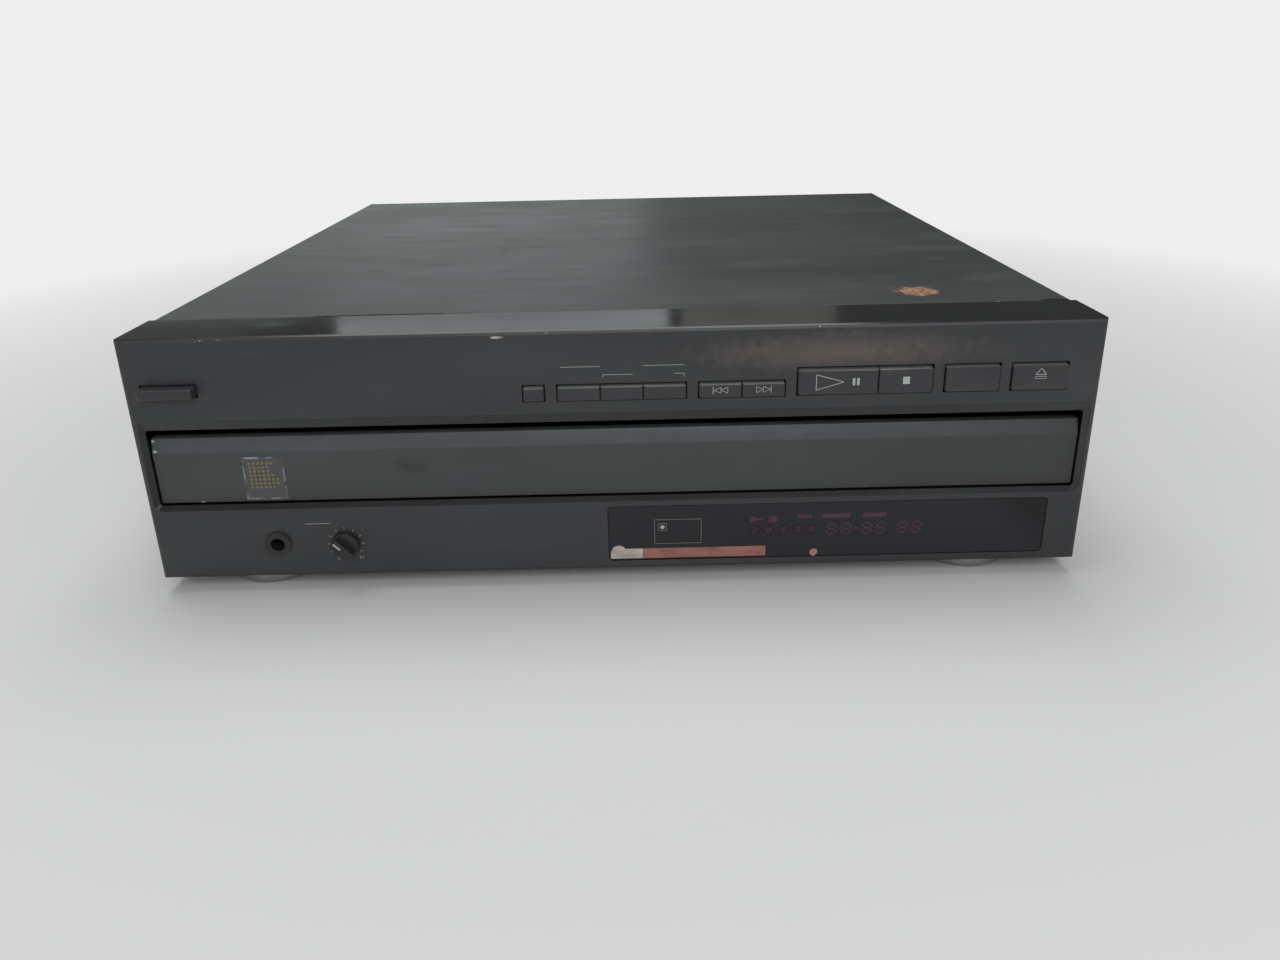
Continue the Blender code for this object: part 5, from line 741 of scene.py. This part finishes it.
caps = {}
for node, side in KEYS.items():
    near, far = cap_of(node)
    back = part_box(node)[1].y
    caps[node] = (near, far)
    centre_x, centre_z = (near.x + far.x) / 2, (near.z + far.z) / 2
    cap_back = FACE + CAP_DEEP
    key = block(node.replace("button", "key"), near, (far.x, cap_back, far.z))

    def is_corner(edge):
        """Edges that run back from the corners of the key, but not next to a neighbour."""
        one, other = edge.verts
        end = LEFT if one.co.x < centre_x else RIGHT_END
        return abs(one.co.y - other.co.y) > KEY_CORNER and side in (FREE, end)

    def is_front(face):
        return middle(face).y < near.y + TINY

    def is_back(face):
        return middle(face).y > cap_back - NEAR

    def is_stem(face):
        spot = middle(face)
        return is_back(face) and abs(spot.x - centre_x) < NEAR and abs(spot.z - centre_z) < NEAR

    round_edges(key, is_corner, KEY_CORNER, 4)
    edit(key, 'FACE', is_front, lambda: bpy.ops.mesh.inset(thickness=KEY_BORDER, depth=0))
    edit(key, 'FACE', is_front, lambda: bpy.ops.transform.resize(
        value=(1, 1, FRONT_SHARE), center_override=(0, 0, near.z + KEY_BORDER)))
    for vert in key.data.vertices:
        rim = min(vert.co.x - near.x, far.x - vert.co.x, vert.co.z - near.z, far.z - vert.co.z)
        if vert.co.y < near.y + TINY and rim < KEY_BORDER * 0.9:
            vert.co.y += KEY_SLOPE
    round_edges(key, lambda edge: middle(edge).y < near.y + KEY_SLOPE * 1.5, KEY_ROUND, 2)
    edit(key, 'FACE', is_back, lambda: bpy.ops.mesh.inset(
        thickness=min(far.x - near.x, far.z - near.z) * STEM_SHARE, depth=0))
    edit(key, 'FACE', is_stem, lambda: bpy.ops.mesh.extrude_region_move(
        TRANSFORM_OT_translate={"value": (0, back - FACE - CAP_DEEP, 0)}))
    finish_piece(key, POWER if node == "power_button" else KEY, node)
    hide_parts(node)
print("keys", {name: round(far.x - near.x, 4) for name, (near, far) in caps.items()})

# %% [markdown]
# The level knob has a round skirt and a ridge to grip, which ends at the edge of the skirt. A
# white stripe on the ridge is the pointer. The knob is made as the mould maker sees it: a disc,
# its rim rounded, and a bar across it with all its edges rounded. The bar is turned about the
# shaft, so its mesh is turned, not the object.

# %% Level knob
low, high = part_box("level_knob")
KNOB = Vector(((low.x + high.x) / 2, FACE, (low.z + high.z) / 2))
SKIRT = (high.x - low.x) / 2
SKIRT_HIGH = 0.0025
RIDGE_WIDE, RIDGE_LONG, RIDGE_SUNK, RIDGE_ROUND = 0.0038, 0.0112, 0.0004, 0.0005
POINT_ANGLE = math.radians(45)
PAINT = 0.00003
top_y = -SKIRT_HIGH - GAP
skirt = lathe("knob_skirt", KNOB, [
    (0, -GAP), (SKIRT - 0.0002, -GAP), (SKIRT, -GAP - 0.0002), (SKIRT, top_y + 0.0005),
    (SKIRT - 0.0002, top_y + 0.0001), (SKIRT - 0.0006, top_y), (0, top_y)], "Y")
ridge = block("knob_ridge", (KNOB.x - RIDGE_WIDE / 2, low.y + PAINT, KNOB.z - RIDGE_LONG / 2),
              (KNOB.x + RIDGE_WIDE / 2, FACE + top_y + RIDGE_SUNK, KNOB.z + RIDGE_LONG / 2))
round_edges(ridge, lambda edge: middle(edge).y < FACE + top_y, RIDGE_ROUND, 4)
edit(ridge, 'FACE', every, lambda: bpy.ops.transform.rotate(
    value=POINT_ANGLE, orient_axis='Y', center_override=KNOB))
knob = join(skirt, ridge)
knob.name = "level_grip"
finish_piece(knob, moulded("knob_plastic", (31, 31, 33), 0.34), "level_knob")
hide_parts("level_knob")
print("knob at", [round(part * 1000, 1) for part in KNOB])

# %% [markdown]
# The headphone socket shows a raised black ring, and inside it the bright spring that touches the
# plug. The spring is a small turned sleeve set back in the bore, with a slot, as rolled sheet has.

# %% Headphone contact
JACK = Vector((-0.1582, FACE, TOP - 0.1005))
SLOT_HALF = 0.0006
sleeve = lathe("jack_contact", JACK, [
    (0.0031, 0.0075), (0.0026, 0.0080), (0.0026, 0.0100), (0.0031, 0.0105), (0.0032, 0.0100),
    (0.0032, 0.0080)], "Y", 32)
edit(sleeve, 'FACE',
     lambda face: abs(middle(face).x - JACK.x) < SLOT_HALF and middle(face).z > JACK.z,
     lambda: bpy.ops.mesh.delete(type='FACE'))
finish_piece(sleeve, BRIGHT, "chassis")
ring = lathe("jack_ring", JACK, [
    (0.0034, -0.0010), (0.0036, -0.0012), (0.0055, -0.0012), (0.0060, -0.0009), (0.00608, -0.0004),
    (0.0058, -0.0003), (0.0036, -0.0003), (0.0034, -0.0005), (0.0034, -0.0010)], "Y", 48)
finish_piece(ring, moulded("ring_plastic", (78, 80, 82), 0.25), "chassis")
print("socket at", [round(part * 1000, 1) for part in JACK])

# %% [markdown]
# Each foot is a black moulded cup with a bright pressed ring round it and a soft pad below. The
# ring is what flashes at the lower left of the photograph. The profile is turned once, and all
# four feet are copies with their own mesh.

# %% Feet
FEET = ("foot_front_left", "foot_front_right", "foot_rear_left", "foot_rear_right")
low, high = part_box(FEET[0])
FOOT = Vector(((low.x + high.x) / 2, (low.y + high.y) / 2, 0))
RIM = (high.x - low.x) / 2
LID = high.z
cup_profile = [(0, 0.0040), (0.008, 0.0040), (0.0085, 0.0005), (0.009, 0.0), (RIM - 0.0030, 0.0),
               (RIM - 0.0024, 0.0006), (RIM - 0.0022, LID - 0.0014), (RIM - 0.0026, LID - 0.0010),
               (0.0, LID - 0.0010)]
band_profile = [(RIM - 0.0021, 0.0012), (RIM - 0.0008, 0.0012), (RIM, 0.0020),
                (RIM - 0.0001, 0.0056), (RIM - 0.0008, 0.0074), (RIM - 0.0014, LID - 0.0006),
                (RIM - 0.0021, LID - 0.0006), (RIM - 0.0021, 0.0012)]
cup_one = lathe("foot_cup", FOOT, cup_profile)
band_one = lathe("foot_band", FOOT, band_profile)
FOOT_BLACK = moulded("foot_cup_plastic", (30, 30, 31), 0.5)
for name in FEET:
    low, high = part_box(name)
    shift = Vector(((low.x + high.x) / 2, (low.y + high.y) / 2, 0)) - FOOT
    for source, finish in ((cup_one, FOOT_BLACK), (band_one, FOOT_METAL)):
        copy = copy_of(source, name + source.name[4:], shift)
        finish_piece(copy, finish, "chassis")
    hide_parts(name)
for source in (cup_one, band_one):
    bpy.data.objects.remove(source)
print("feet", len(FEET), "radius", round(RIM, 4))

# %% [markdown]
# Signs on the panel and the keys are screen printed in a pale grey ink. Screen printing lays down
# a film a few hundredths of a millimetre thick, so each sign here is a flat outline raised by that
# much. Only plain signs are drawn: the usual transport symbols, brackets that group the keys,
# and a scale round the knob with 0 and 10 at its ends.

# %% Ink and strokes
INK = 0.00003
HAIR, BOLD = 0.0002, 0.0003


def ink(name, tone, rough=0.5):
    """Printed ink, a little worn."""
    made = Finish(name, shade(tone), rough)
    worn = made.noise(0.0009, 3.0).rise(0.62, 0.8)
    return made.painted(made.mix(worn * 0.45, shade(tone), [part * 0.4 for part in shade(tone)]),
                        made.noise(0.004, 2.0).rise(0.3, 0.7, rough - 0.1, rough + 0.1),
                        made.noise(0.0003, 1.0), 0.000003)


def down(z):
    """Height of a place measured down from the top of the panel."""
    return TOP - z


def stroke(points, wide, closed=False):
    """Thin bars along a line of (x, z) points."""
    bars = []
    ends = points[1:] + (points[:1] if closed else [])
    for (x0, z0), (x1, z1) in zip(points, ends):
        long = math.hypot(x1 - x0, z1 - z0)
        ux, uz = (x1 - x0) / long * wide / 2, (z1 - z0) / long * wide / 2
        bars.append([(x0 - ux + uz, z0 - uz - ux), (x1 + ux + uz, z1 + uz - ux),
                     (x1 + ux - uz, z1 + uz + ux), (x0 - ux - uz, z0 - uz + ux)])
    return bars


def moved(x, z, points):
    """The points of a sign, moved to its place."""
    return [(x + a, z + b) for a, b in points]


def patch(x, z, wide, tall):
    """Upright rectangle round a middle point."""
    a, b = wide / 2, tall / 2
    return moved(x, z, [(-a, -b), (a, -b), (a, b), (-a, b)])


def ellipse(x, z, wide, tall, count):
    turns = [math.tau * k / count for k in range(count)]
    return moved(x, z, [(wide * math.cos(turn), tall * math.sin(turn)) for turn in turns])


def printed(name, shapes, level, material, body, thick=INK, lying=False):
    """Raise flat outlines by the thickness of the print: to the front, or up if they lie flat."""
    points, faces = [], []
    for shape in shapes:
        faces.append(list(range(len(points), len(points) + len(shape))))
        points += [(a, b, level) if lying else (a, level, b) for a, b in shape]
    piece = new_object(name, bpy.data.meshes.new(name))
    piece.data.from_pydata(points, [], faces)
    edit(piece, 'FACE', every, lambda: bpy.ops.mesh.extrude_region_move(
        TRANSFORM_OT_translate={"value": (0, 0, thick) if lying else (0, -thick, 0)}))
    return finish_piece(piece, material, body)


WHITE_INK = ink("pale_ink", (176, 178, 178))
print("ink ready")

# %% Signs on the panel
RULES = (((-0.0229, 0.0168), (-0.0058, 0.0168)), ((0.0135, 0.0168), (0.0313, 0.0168)),
         ((-0.0045, 0.0220), (-0.0045, 0.0207), (0.0085, 0.0207)),
         ((0.0271, 0.0207), (0.0313, 0.0207), (0.0313, 0.0220)),
         ((-0.1446, 0.0906), (-0.1331, 0.0906)))
TICK_IN, TICK_OUT, TICK_STEP = 0.0073, 0.0085, 30
DIGIT = (0.0010, 0.0015)
ZEROS = ((-0.0042, -0.0078), (0.0069, -0.0074))
ONE = ((0.0057, -0.0066), (0.0057, -0.0082))
signs = []
for rule in RULES:
    signs += stroke([(x, down(z)) for x, z in rule], HAIR)
for k in range(-4, 5):
    lean = math.radians(TICK_STEP * k)
    signs += stroke(moved(KNOB.x, KNOB.z, [
        (r * math.sin(lean), r * math.cos(lean)) for r in (TICK_IN, TICK_OUT)]), HAIR)
for a, b in ZEROS:
    signs += stroke(ellipse(KNOB.x + a, KNOB.z + b, DIGIT[0] / 2, DIGIT[1] / 2, 12), HAIR, True)
signs += stroke(moved(KNOB.x, KNOB.z, ONE), HAIR)
printed("panel_signs", signs, FACE, WHITE_INK, "chassis")
print("panel signs", len(signs))

# %% Signs on the keys
PLAY_IN, PLAY_Z, STOP_Z, SKIP_Z, OPEN_Z = 0.0139, 0.0260, 0.0259, 0.0286, 0.0246
PLAY = ((-0.0060, -0.0036), (-0.0060, 0.0036), (0.0062, 0))
PAUSE, PAUSE_SIZE = (0.0105, 0.0124), (0.0011, 0.0033)
STOP = (0.0030, 0.0034)
SKIP_STEP, SKIP_HALF = 0.0030, 0.0014
OPEN_ARROW = ((-0.0023, 0), (0.0023, 0), (0, 0.0029))
OPEN_TRAY = ((-0.0024, -0.0018), (0.0024, -0.0018), (0.0024, -0.0009), (-0.0024, -0.0009))
near, far = caps["play_button"]
x, z = near.x + PLAY_IN, down(PLAY_Z)
play = stroke(moved(x, z, PLAY), BOLD, True) + [patch(x + a, z, *PAUSE_SIZE) for a in PAUSE]
printed("play_sign", play, near.y, WHITE_INK, "play_button")
near, far = caps["stop_button"]
printed("stop_sign", [patch((near.x + far.x) / 2, down(STOP_Z), *STOP)], near.y, WHITE_INK,
        "stop_button")


def skip_sign(x, z, side):
    """Two open triangles and a bar, pointing left for -1 and right for 1."""
    shapes = []
    for k in (0, 1):
        base = x + side * (k * SKIP_STEP - SKIP_STEP)
        tip = base + side * SKIP_STEP
        shapes += stroke([(base, z - SKIP_HALF), (base, z + SKIP_HALF), (tip, z)], HAIR, True)
    end = x + side * 0.0034
    return shapes + stroke([(end, z - 0.0015), (end, z + 0.0015)], BOLD)


for name, side in (("previous_button", -1), ("next_button", 1)):
    near, far = caps[name]
    sign = skip_sign((near.x + far.x) / 2 - side * 0.0002, down(SKIP_Z), side)
    printed(name.replace("button", "sign"), sign, near.y, WHITE_INK, name)
near, far = caps["open_close_button"]
x, z = (near.x + far.x) / 2, down(OPEN_Z)
eject = stroke(moved(x, z, OPEN_ARROW), BOLD, True) + stroke(moved(x, z, OPEN_TRAY), HAIR, True)
printed("open_sign", eject, near.y, WHITE_INK, "open_close_button")
along = (-math.sin(POINT_ANGLE), math.cos(POINT_ANGLE))
STRIPE_HALF, STRIPE_ENDS = 0.0004, (0.0008, 0.0051)
stripe = [(KNOB.x + a * along[1] + b * along[0], KNOB.z - a * along[0] + b * along[1])
          for a, b in ((-STRIPE_HALF, STRIPE_ENDS[0]), (STRIPE_HALF, STRIPE_ENDS[0]),
                       (STRIPE_HALF, STRIPE_ENDS[1]), (-STRIPE_HALF, STRIPE_ENDS[1]))]
knob_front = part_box("level_knob")[0].y + PAINT
printed("knob_pointer", [stripe], knob_front, WHITE_INK, "level_knob")
print("key signs done, stripe from", [round(part * 1000, 1) for part in stripe[0]])

# %% [markdown]
# Behind the smoked window sits a glass display tube. Switched off, its segments still show as a
# dull reddish ghost. They are drawn as slanted bars: seven for each digit, then discs in rings,
# and flat bars above for the headings. A square frame at the left marks where the remote control's
# light comes in.

# %% Ghost display
GHOST = ink("ghost_segments", (74, 38, 58), 0.3)
LEAN = 0.12
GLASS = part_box("display_window")[0].y
DIGITS = ((0.0972, 0.1012), (0.1040, 0.1080), (0.1139, 0.1177), (0.1205, 0.1243),
          (0.1303, 0.1341), (0.1370, 0.1408))
DIGIT_FOOT, DIGIT_TALL, DASH = 0.1021, 0.0054, (0.1110, 0.0993, 0.0024, 0.0007)
DISCS, DISC_Z, DISC_R = (0.0638, 0.0703, 0.0770, 0.0836, 0.0901), 0.0993, 0.0024
HEADINGS = ((0.0870, 0.0927, 0.0064, 0.0018), (0.1016, 0.0926, 0.0130, 0.0022),
            (0.1192, 0.0926, 0.0108, 0.0022), (0.0721, 0.0937, 0.0040, 0.0034))
PLAY_MARK = ((0.0614, 0.0952), (0.0614, 0.0920), (0.0678, 0.0936))
SENSOR_FRAMES = ((0.0171, 0.0388, 0.1052, 0.0927), (0.0190, 0.0226, 0.0984, 0.0947))


def slanted(shape, floor_z):
    """Lean a shape to the right, as display segments do."""
    return [(x + (z - floor_z) * LEAN, z) for x, z in shape]


def ghost_digit(left, wide, low_z, tall, bar=0.0008):
    """The seven bars of one digit."""
    right, mid, high_z = left + wide, low_z + tall / 2, low_z + tall
    gap = bar * 0.7
    shapes = [patch((left + right) / 2, z, wide - 2 * gap, bar) for z in (low_z, mid, high_z)]
    for x in (left, right):
        shapes += [patch(x, (a + b) / 2, bar, tall / 2 - 2 * gap)
                   for a, b in ((low_z, mid), (mid, high_z))]
    return [slanted(shape, low_z) for shape in shapes]


ghosts = []
for left, right in DIGITS:
    ghosts += ghost_digit(left, right - left, down(DIGIT_FOOT), DIGIT_TALL)
ghosts.append(patch(DASH[0], down(DASH[1]), *DASH[2:]))
for x in DISCS:
    ghosts += stroke(ellipse(x, down(DISC_Z), DISC_R, DISC_R, 18), 0.0005, True)
    ghosts += [slanted(bar, down(0.1005))
               for bar in ghost_digit(x - 0.0007, 0.0014, down(0.1007), 0.0028, 0.0004)]
ghosts += [patch(x, down(z), wide, tall) for x, z, wide, tall in HEADINGS]
ghosts.append([(x, down(z)) for x, z in PLAY_MARK])
printed("ghost_display", ghosts, GLASS, GHOST, "chassis")
frame_lines = []
for left, right, low_z, high_z in SENSOR_FRAMES:
    frame_lines += stroke([(left, down(low_z)), (left, down(high_z)), (right, down(high_z)),
                           (right, down(low_z))], HAIR, True)
printed("sensor_frame", frame_lines, GLASS, ink("window_ink", (128, 128, 126)), "chassis")
sensor_dot = ellipse(0.0208, down(0.0966), 0.0010, 0.0010, 16)
printed("sensor_dot", [sensor_dot], GLASS, WHITE_INK, "chassis")
print("ghost shapes", len(ghosts))

# %% [markdown]
# A paper sticker in two tones runs along the lower edge of the window. It is old, so its red part
# has faded to pink. Beside it sits a small worn dot. On the drawer there is a square of clear film
# with a grid of gold dots.

# %% Stickers
STICKER_LEFT, STICKER_RIGHT, STICKER_TOP, STICKER_BOTTOM = -0.0036, 0.0690, 0.1076, 0.1127
BULGE_X, BULGE_Z, BULGE_R = 0.0002, 0.1092, 0.0034
PAPER_THICK, DOT_THICK, FILM_THICK = 0.00006, 0.00005, 0.00005
DRAWER_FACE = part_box("drawer_front")[0].y
FILM = (-0.1704, -0.1513, 0.0577, 0.0790)
DOT, DOT_STEP, DOT_START = 0.0011, 0.0020, (0.0034, 0.0031)
ROW_LENGTHS = (6, 5, 5, 6, 7, 7, 6)


def paper(name, first, second, border):
    """Two-tone paper, faded and a little creased."""
    made = Finish(name, shade(first), 0.5)
    part = made.axis("X").rise(border - 0.0001, border + 0.0001)
    fade = made.noise(0.006, 3.0, (2, 1, 0.6))
    faded = [value * 0.6 for value in shade(second)]
    pink = made.mix(fade.rise(0.35, 0.75), shade(second), faded)
    pale = made.mix(fade.rise(0.3, 0.8), shade(first), shade((150, 138, 130)))
    stain = made.noise(0.0012, 3.0).rise(0.58, 0.72) * 0.35
    return made.painted(made.mix(stain, made.mix(part, pale, pink), shade((96, 78, 72))),
                        fade.rise(0.3, 0.7, 0.4, 0.6), made.noise(0.003, 2.0, (3, 1, 1)), 0.00004)


def clear_film():
    """Clear film on the drawer: glossy, slightly milky, crinkled, with painted glints at its edges.
    """
    made = Finish("clear_film", shade((64, 66, 66)), 0.16, coat=0.5)
    crinkle = made.noise(0.004, 3.0)
    haze = made.cells(0.003)
    body = made.mix(haze.rise(0.1, 0.7), shade((70, 72, 71)), shade((56, 58, 58)))
    # Pale rim along the edges, broken by the crinkle: painted glints.
    rim = sum(made.axis(letter).away((a + b) / 2).rise((b - a) / 2 - 0.0010, (b - a) / 2 - 0.0005)
              for letter, a, b in (("X", FILM[0], FILM[1]), ("Z", down(FILM[3]), down(FILM[2]))))
    return made.painted(
        made.mix(rim * crinkle.rise(0.42, 0.62) * 0.7, body, shade((168, 170, 168))),
        crinkle.rise(0.3, 0.7, 0.10, 0.26), crinkle, 0.00008)


bulge = ellipse(BULGE_X, down(BULGE_Z), BULGE_R, BULGE_R, 20)[1:10]
sticker = [(STICKER_LEFT, down(STICKER_BOTTOM)), (STICKER_RIGHT, down(STICKER_BOTTOM)),
           (STICKER_RIGHT, down(STICKER_TOP)), (BULGE_X + BULGE_R, down(STICKER_TOP)), *bulge,
           (STICKER_LEFT, down(BULGE_Z))]
printed("window_sticker", [sticker], GLASS,
        paper("sticker_paper", (206, 196, 186), (168, 112, 98), 0.0113), "chassis", PAPER_THICK)
printed("worn_dot", [ellipse(0.0917, down(0.1116), 0.0019, 0.0019, 14)[:12]], GLASS,
        paper("dot_paper", (196, 140, 140), (196, 140, 140), 0), "chassis", DOT_THICK)
film_shape = [(FILM[0], down(FILM[3] - 0.0003)), (FILM[1] - 0.0004, down(FILM[3])),
              (FILM[1], down(FILM[2] - 0.0002)), (FILM[0] + 0.0003, down(FILM[2]))]
printed("clear_film", [film_shape], DRAWER_FACE, clear_film(), "drawer", FILM_THICK)
dots = [patch(FILM[0] + DOT_START[0] + column * DOT_STEP,
              down(FILM[2] + DOT_START[1] + row * DOT_STEP), DOT, DOT)
        for row, length in enumerate(ROW_LENGTHS) for column in range(length)]
GOLD = ink("gold_ink", (122, 114, 64), 0.42)
printed("gold_dots", dots, DRAWER_FACE - FILM_THICK, GOLD, "drawer")
print("stickers and", len(dots), "dots")

# %% [markdown]
# When the drawer is open the carousel shows. Its wells are numbered, so that a listener can tell
# which disc is which; the numbers are made from the same strokes as the signs on the panel. At the
# back, the line sockets carry a white and a red ring, the usual colours for the left and the right
# channel.

# %% Numbers on the carousel and rings at the back
NUMBER, NUMBER_LINE = 0.0062, 0.0006
BARS = {"top": ((0, 1), (0.6, 1)), "middle": ((0, 0.5), (0.6, 0.5)), "bottom": ((0, 0), (0.6, 0)),
        "left_up": ((0, 0.5), (0, 1)), "left_down": ((0, 0), (0, 0.5)),
        "right_up": ((0.6, 0.5), (0.6, 1)), "right_down": ((0.6, 0), (0.6, 0.5))}
FIGURES = {1: ("right_up", "right_down"), 2: ("top", "right_up", "middle", "left_down", "bottom"),
           3: ("top", "right_up", "middle", "right_down", "bottom"),
           4: ("left_up", "middle", "right_up", "right_down"),
           5: ("top", "left_up", "middle", "right_down", "bottom")}
table_low, table_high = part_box("carousel")
CENTRE = Vector(((table_low.x + table_high.x) / 2, (table_low.y + table_high.y) / 2, 0))
cap_low, cap_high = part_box("carousel_cap")
NUMBER_REACH = (cap_high.x - cap_low.x) / 2 + 0.006
for number, bars in FIGURES.items():
    spot = math.pi / 2 + math.tau * (number - 1) / 5 + math.tau / 10
    out = Vector((math.cos(spot), math.sin(spot), 0))
    side = Vector((out.y, -out.x, 0))
    corner = CENTRE + out * NUMBER_REACH - side * NUMBER * 0.3
    shapes = []
    for bar in bars:
        ends = [corner + side * a * NUMBER + out * b * NUMBER for a, b in BARS[bar]]
        shapes += stroke([(end.x, end.y) for end in ends], NUMBER_LINE)
    printed("well_number_" + str(number), shapes, table_high.z, WHITE_INK, "carousel", lying=True)

low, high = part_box("phono_sockets")
middle_x, middle_z, SLEEVE_HALF = (low.x + high.x) / 2, (low.z + high.z) / 2, 0.007
RING_PROFILE = [(0.0042, -0.0070), (0.0060, -0.0070), (0.0062, -0.0067), (0.0062, -0.0058),
                (0.0042, -0.0058), (0.0042, -0.0070)]
for name, x, tone in (("line_ring_white", middle_x - SLEEVE_HALF, (205, 203, 196)),
                      ("line_ring_red", middle_x + SLEEVE_HALF, (150, 32, 28))):
    hoop = lathe(name, (x, high.y, middle_z), RING_PROFILE, "Y", 40)
    finish_piece(hoop, moulded(name, tone, 0.35, dust=0.0), "chassis")
print("numbers", len(FIGURES), "rings 2, sleeve tip at", round(high.y, 4))

# %% [markdown]
# The rear panel is held by small pan head screws. Each head is turned from a profile and then gets
# a cross recess. One screw is modelled, and all seven are copies with their own mesh, moved to
# their holes.

# %% Rear screws
HEAD, HEAD_HIGH = 0.0029, 0.0012
CROSS_LONG, CROSS_WIDE = HEAD * 0.55, HEAD * 0.12
SIDE_IN, SIDE_UPS, FOOT_UP, SOCKET_OUT = 0.0075, (0.008, 0.060), 0.006, 0.0055
panel_low, panel_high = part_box("rear_panel")
SPOTS = [(side * (panel_high.x - SIDE_IN), panel_low.z + up) for side in (-1, 1) for up in SIDE_UPS]
SPOTS += [(0, panel_low.z + FOOT_UP)]
SPOTS += [(x, middle_z) for x in (low.x - SOCKET_OUT, high.x + SOCKET_OUT)]
rear = Vector((SPOTS[0][0], panel_high.y, SPOTS[0][1]))
head = lathe("rear_screw", rear, [
    (0, 0), (HEAD, 0), (HEAD, HEAD_HIGH * 0.35), (HEAD * 0.86, HEAD_HIGH * 0.75),
    (HEAD * 0.62, HEAD_HIGH), (0, HEAD_HIGH)], "Y", 24)
for wide, tall in ((CROSS_LONG, CROSS_WIDE), (CROSS_WIDE, CROSS_LONG)):
    slot = block("cross", (rear.x - wide, rear.y + HEAD_HIGH * 0.45, rear.z - tall),
                 (rear.x + wide, rear.y + HEAD_HIGH * 1.5, rear.z + tall))
    select_only(head)
    cut = head.modifiers.new("cross", 'BOOLEAN')
    cut.operation, cut.object, cut.solver = 'DIFFERENCE', slot, 'EXACT'
    bpy.ops.object.modifier_apply(modifier=cut.name)
    bpy.data.objects.remove(slot)
for place, (x, z) in enumerate(SPOTS):
    copy = copy_of(head, "rear_screw_" + str(place + 1), (x - rear.x, 0, z - rear.z))
    finish_piece(copy, SCREW, "chassis")
bpy.data.objects.remove(head)
print("rear screws", len(SPOTS), "heads end at", round(rear.y + HEAD_HIGH, 4))
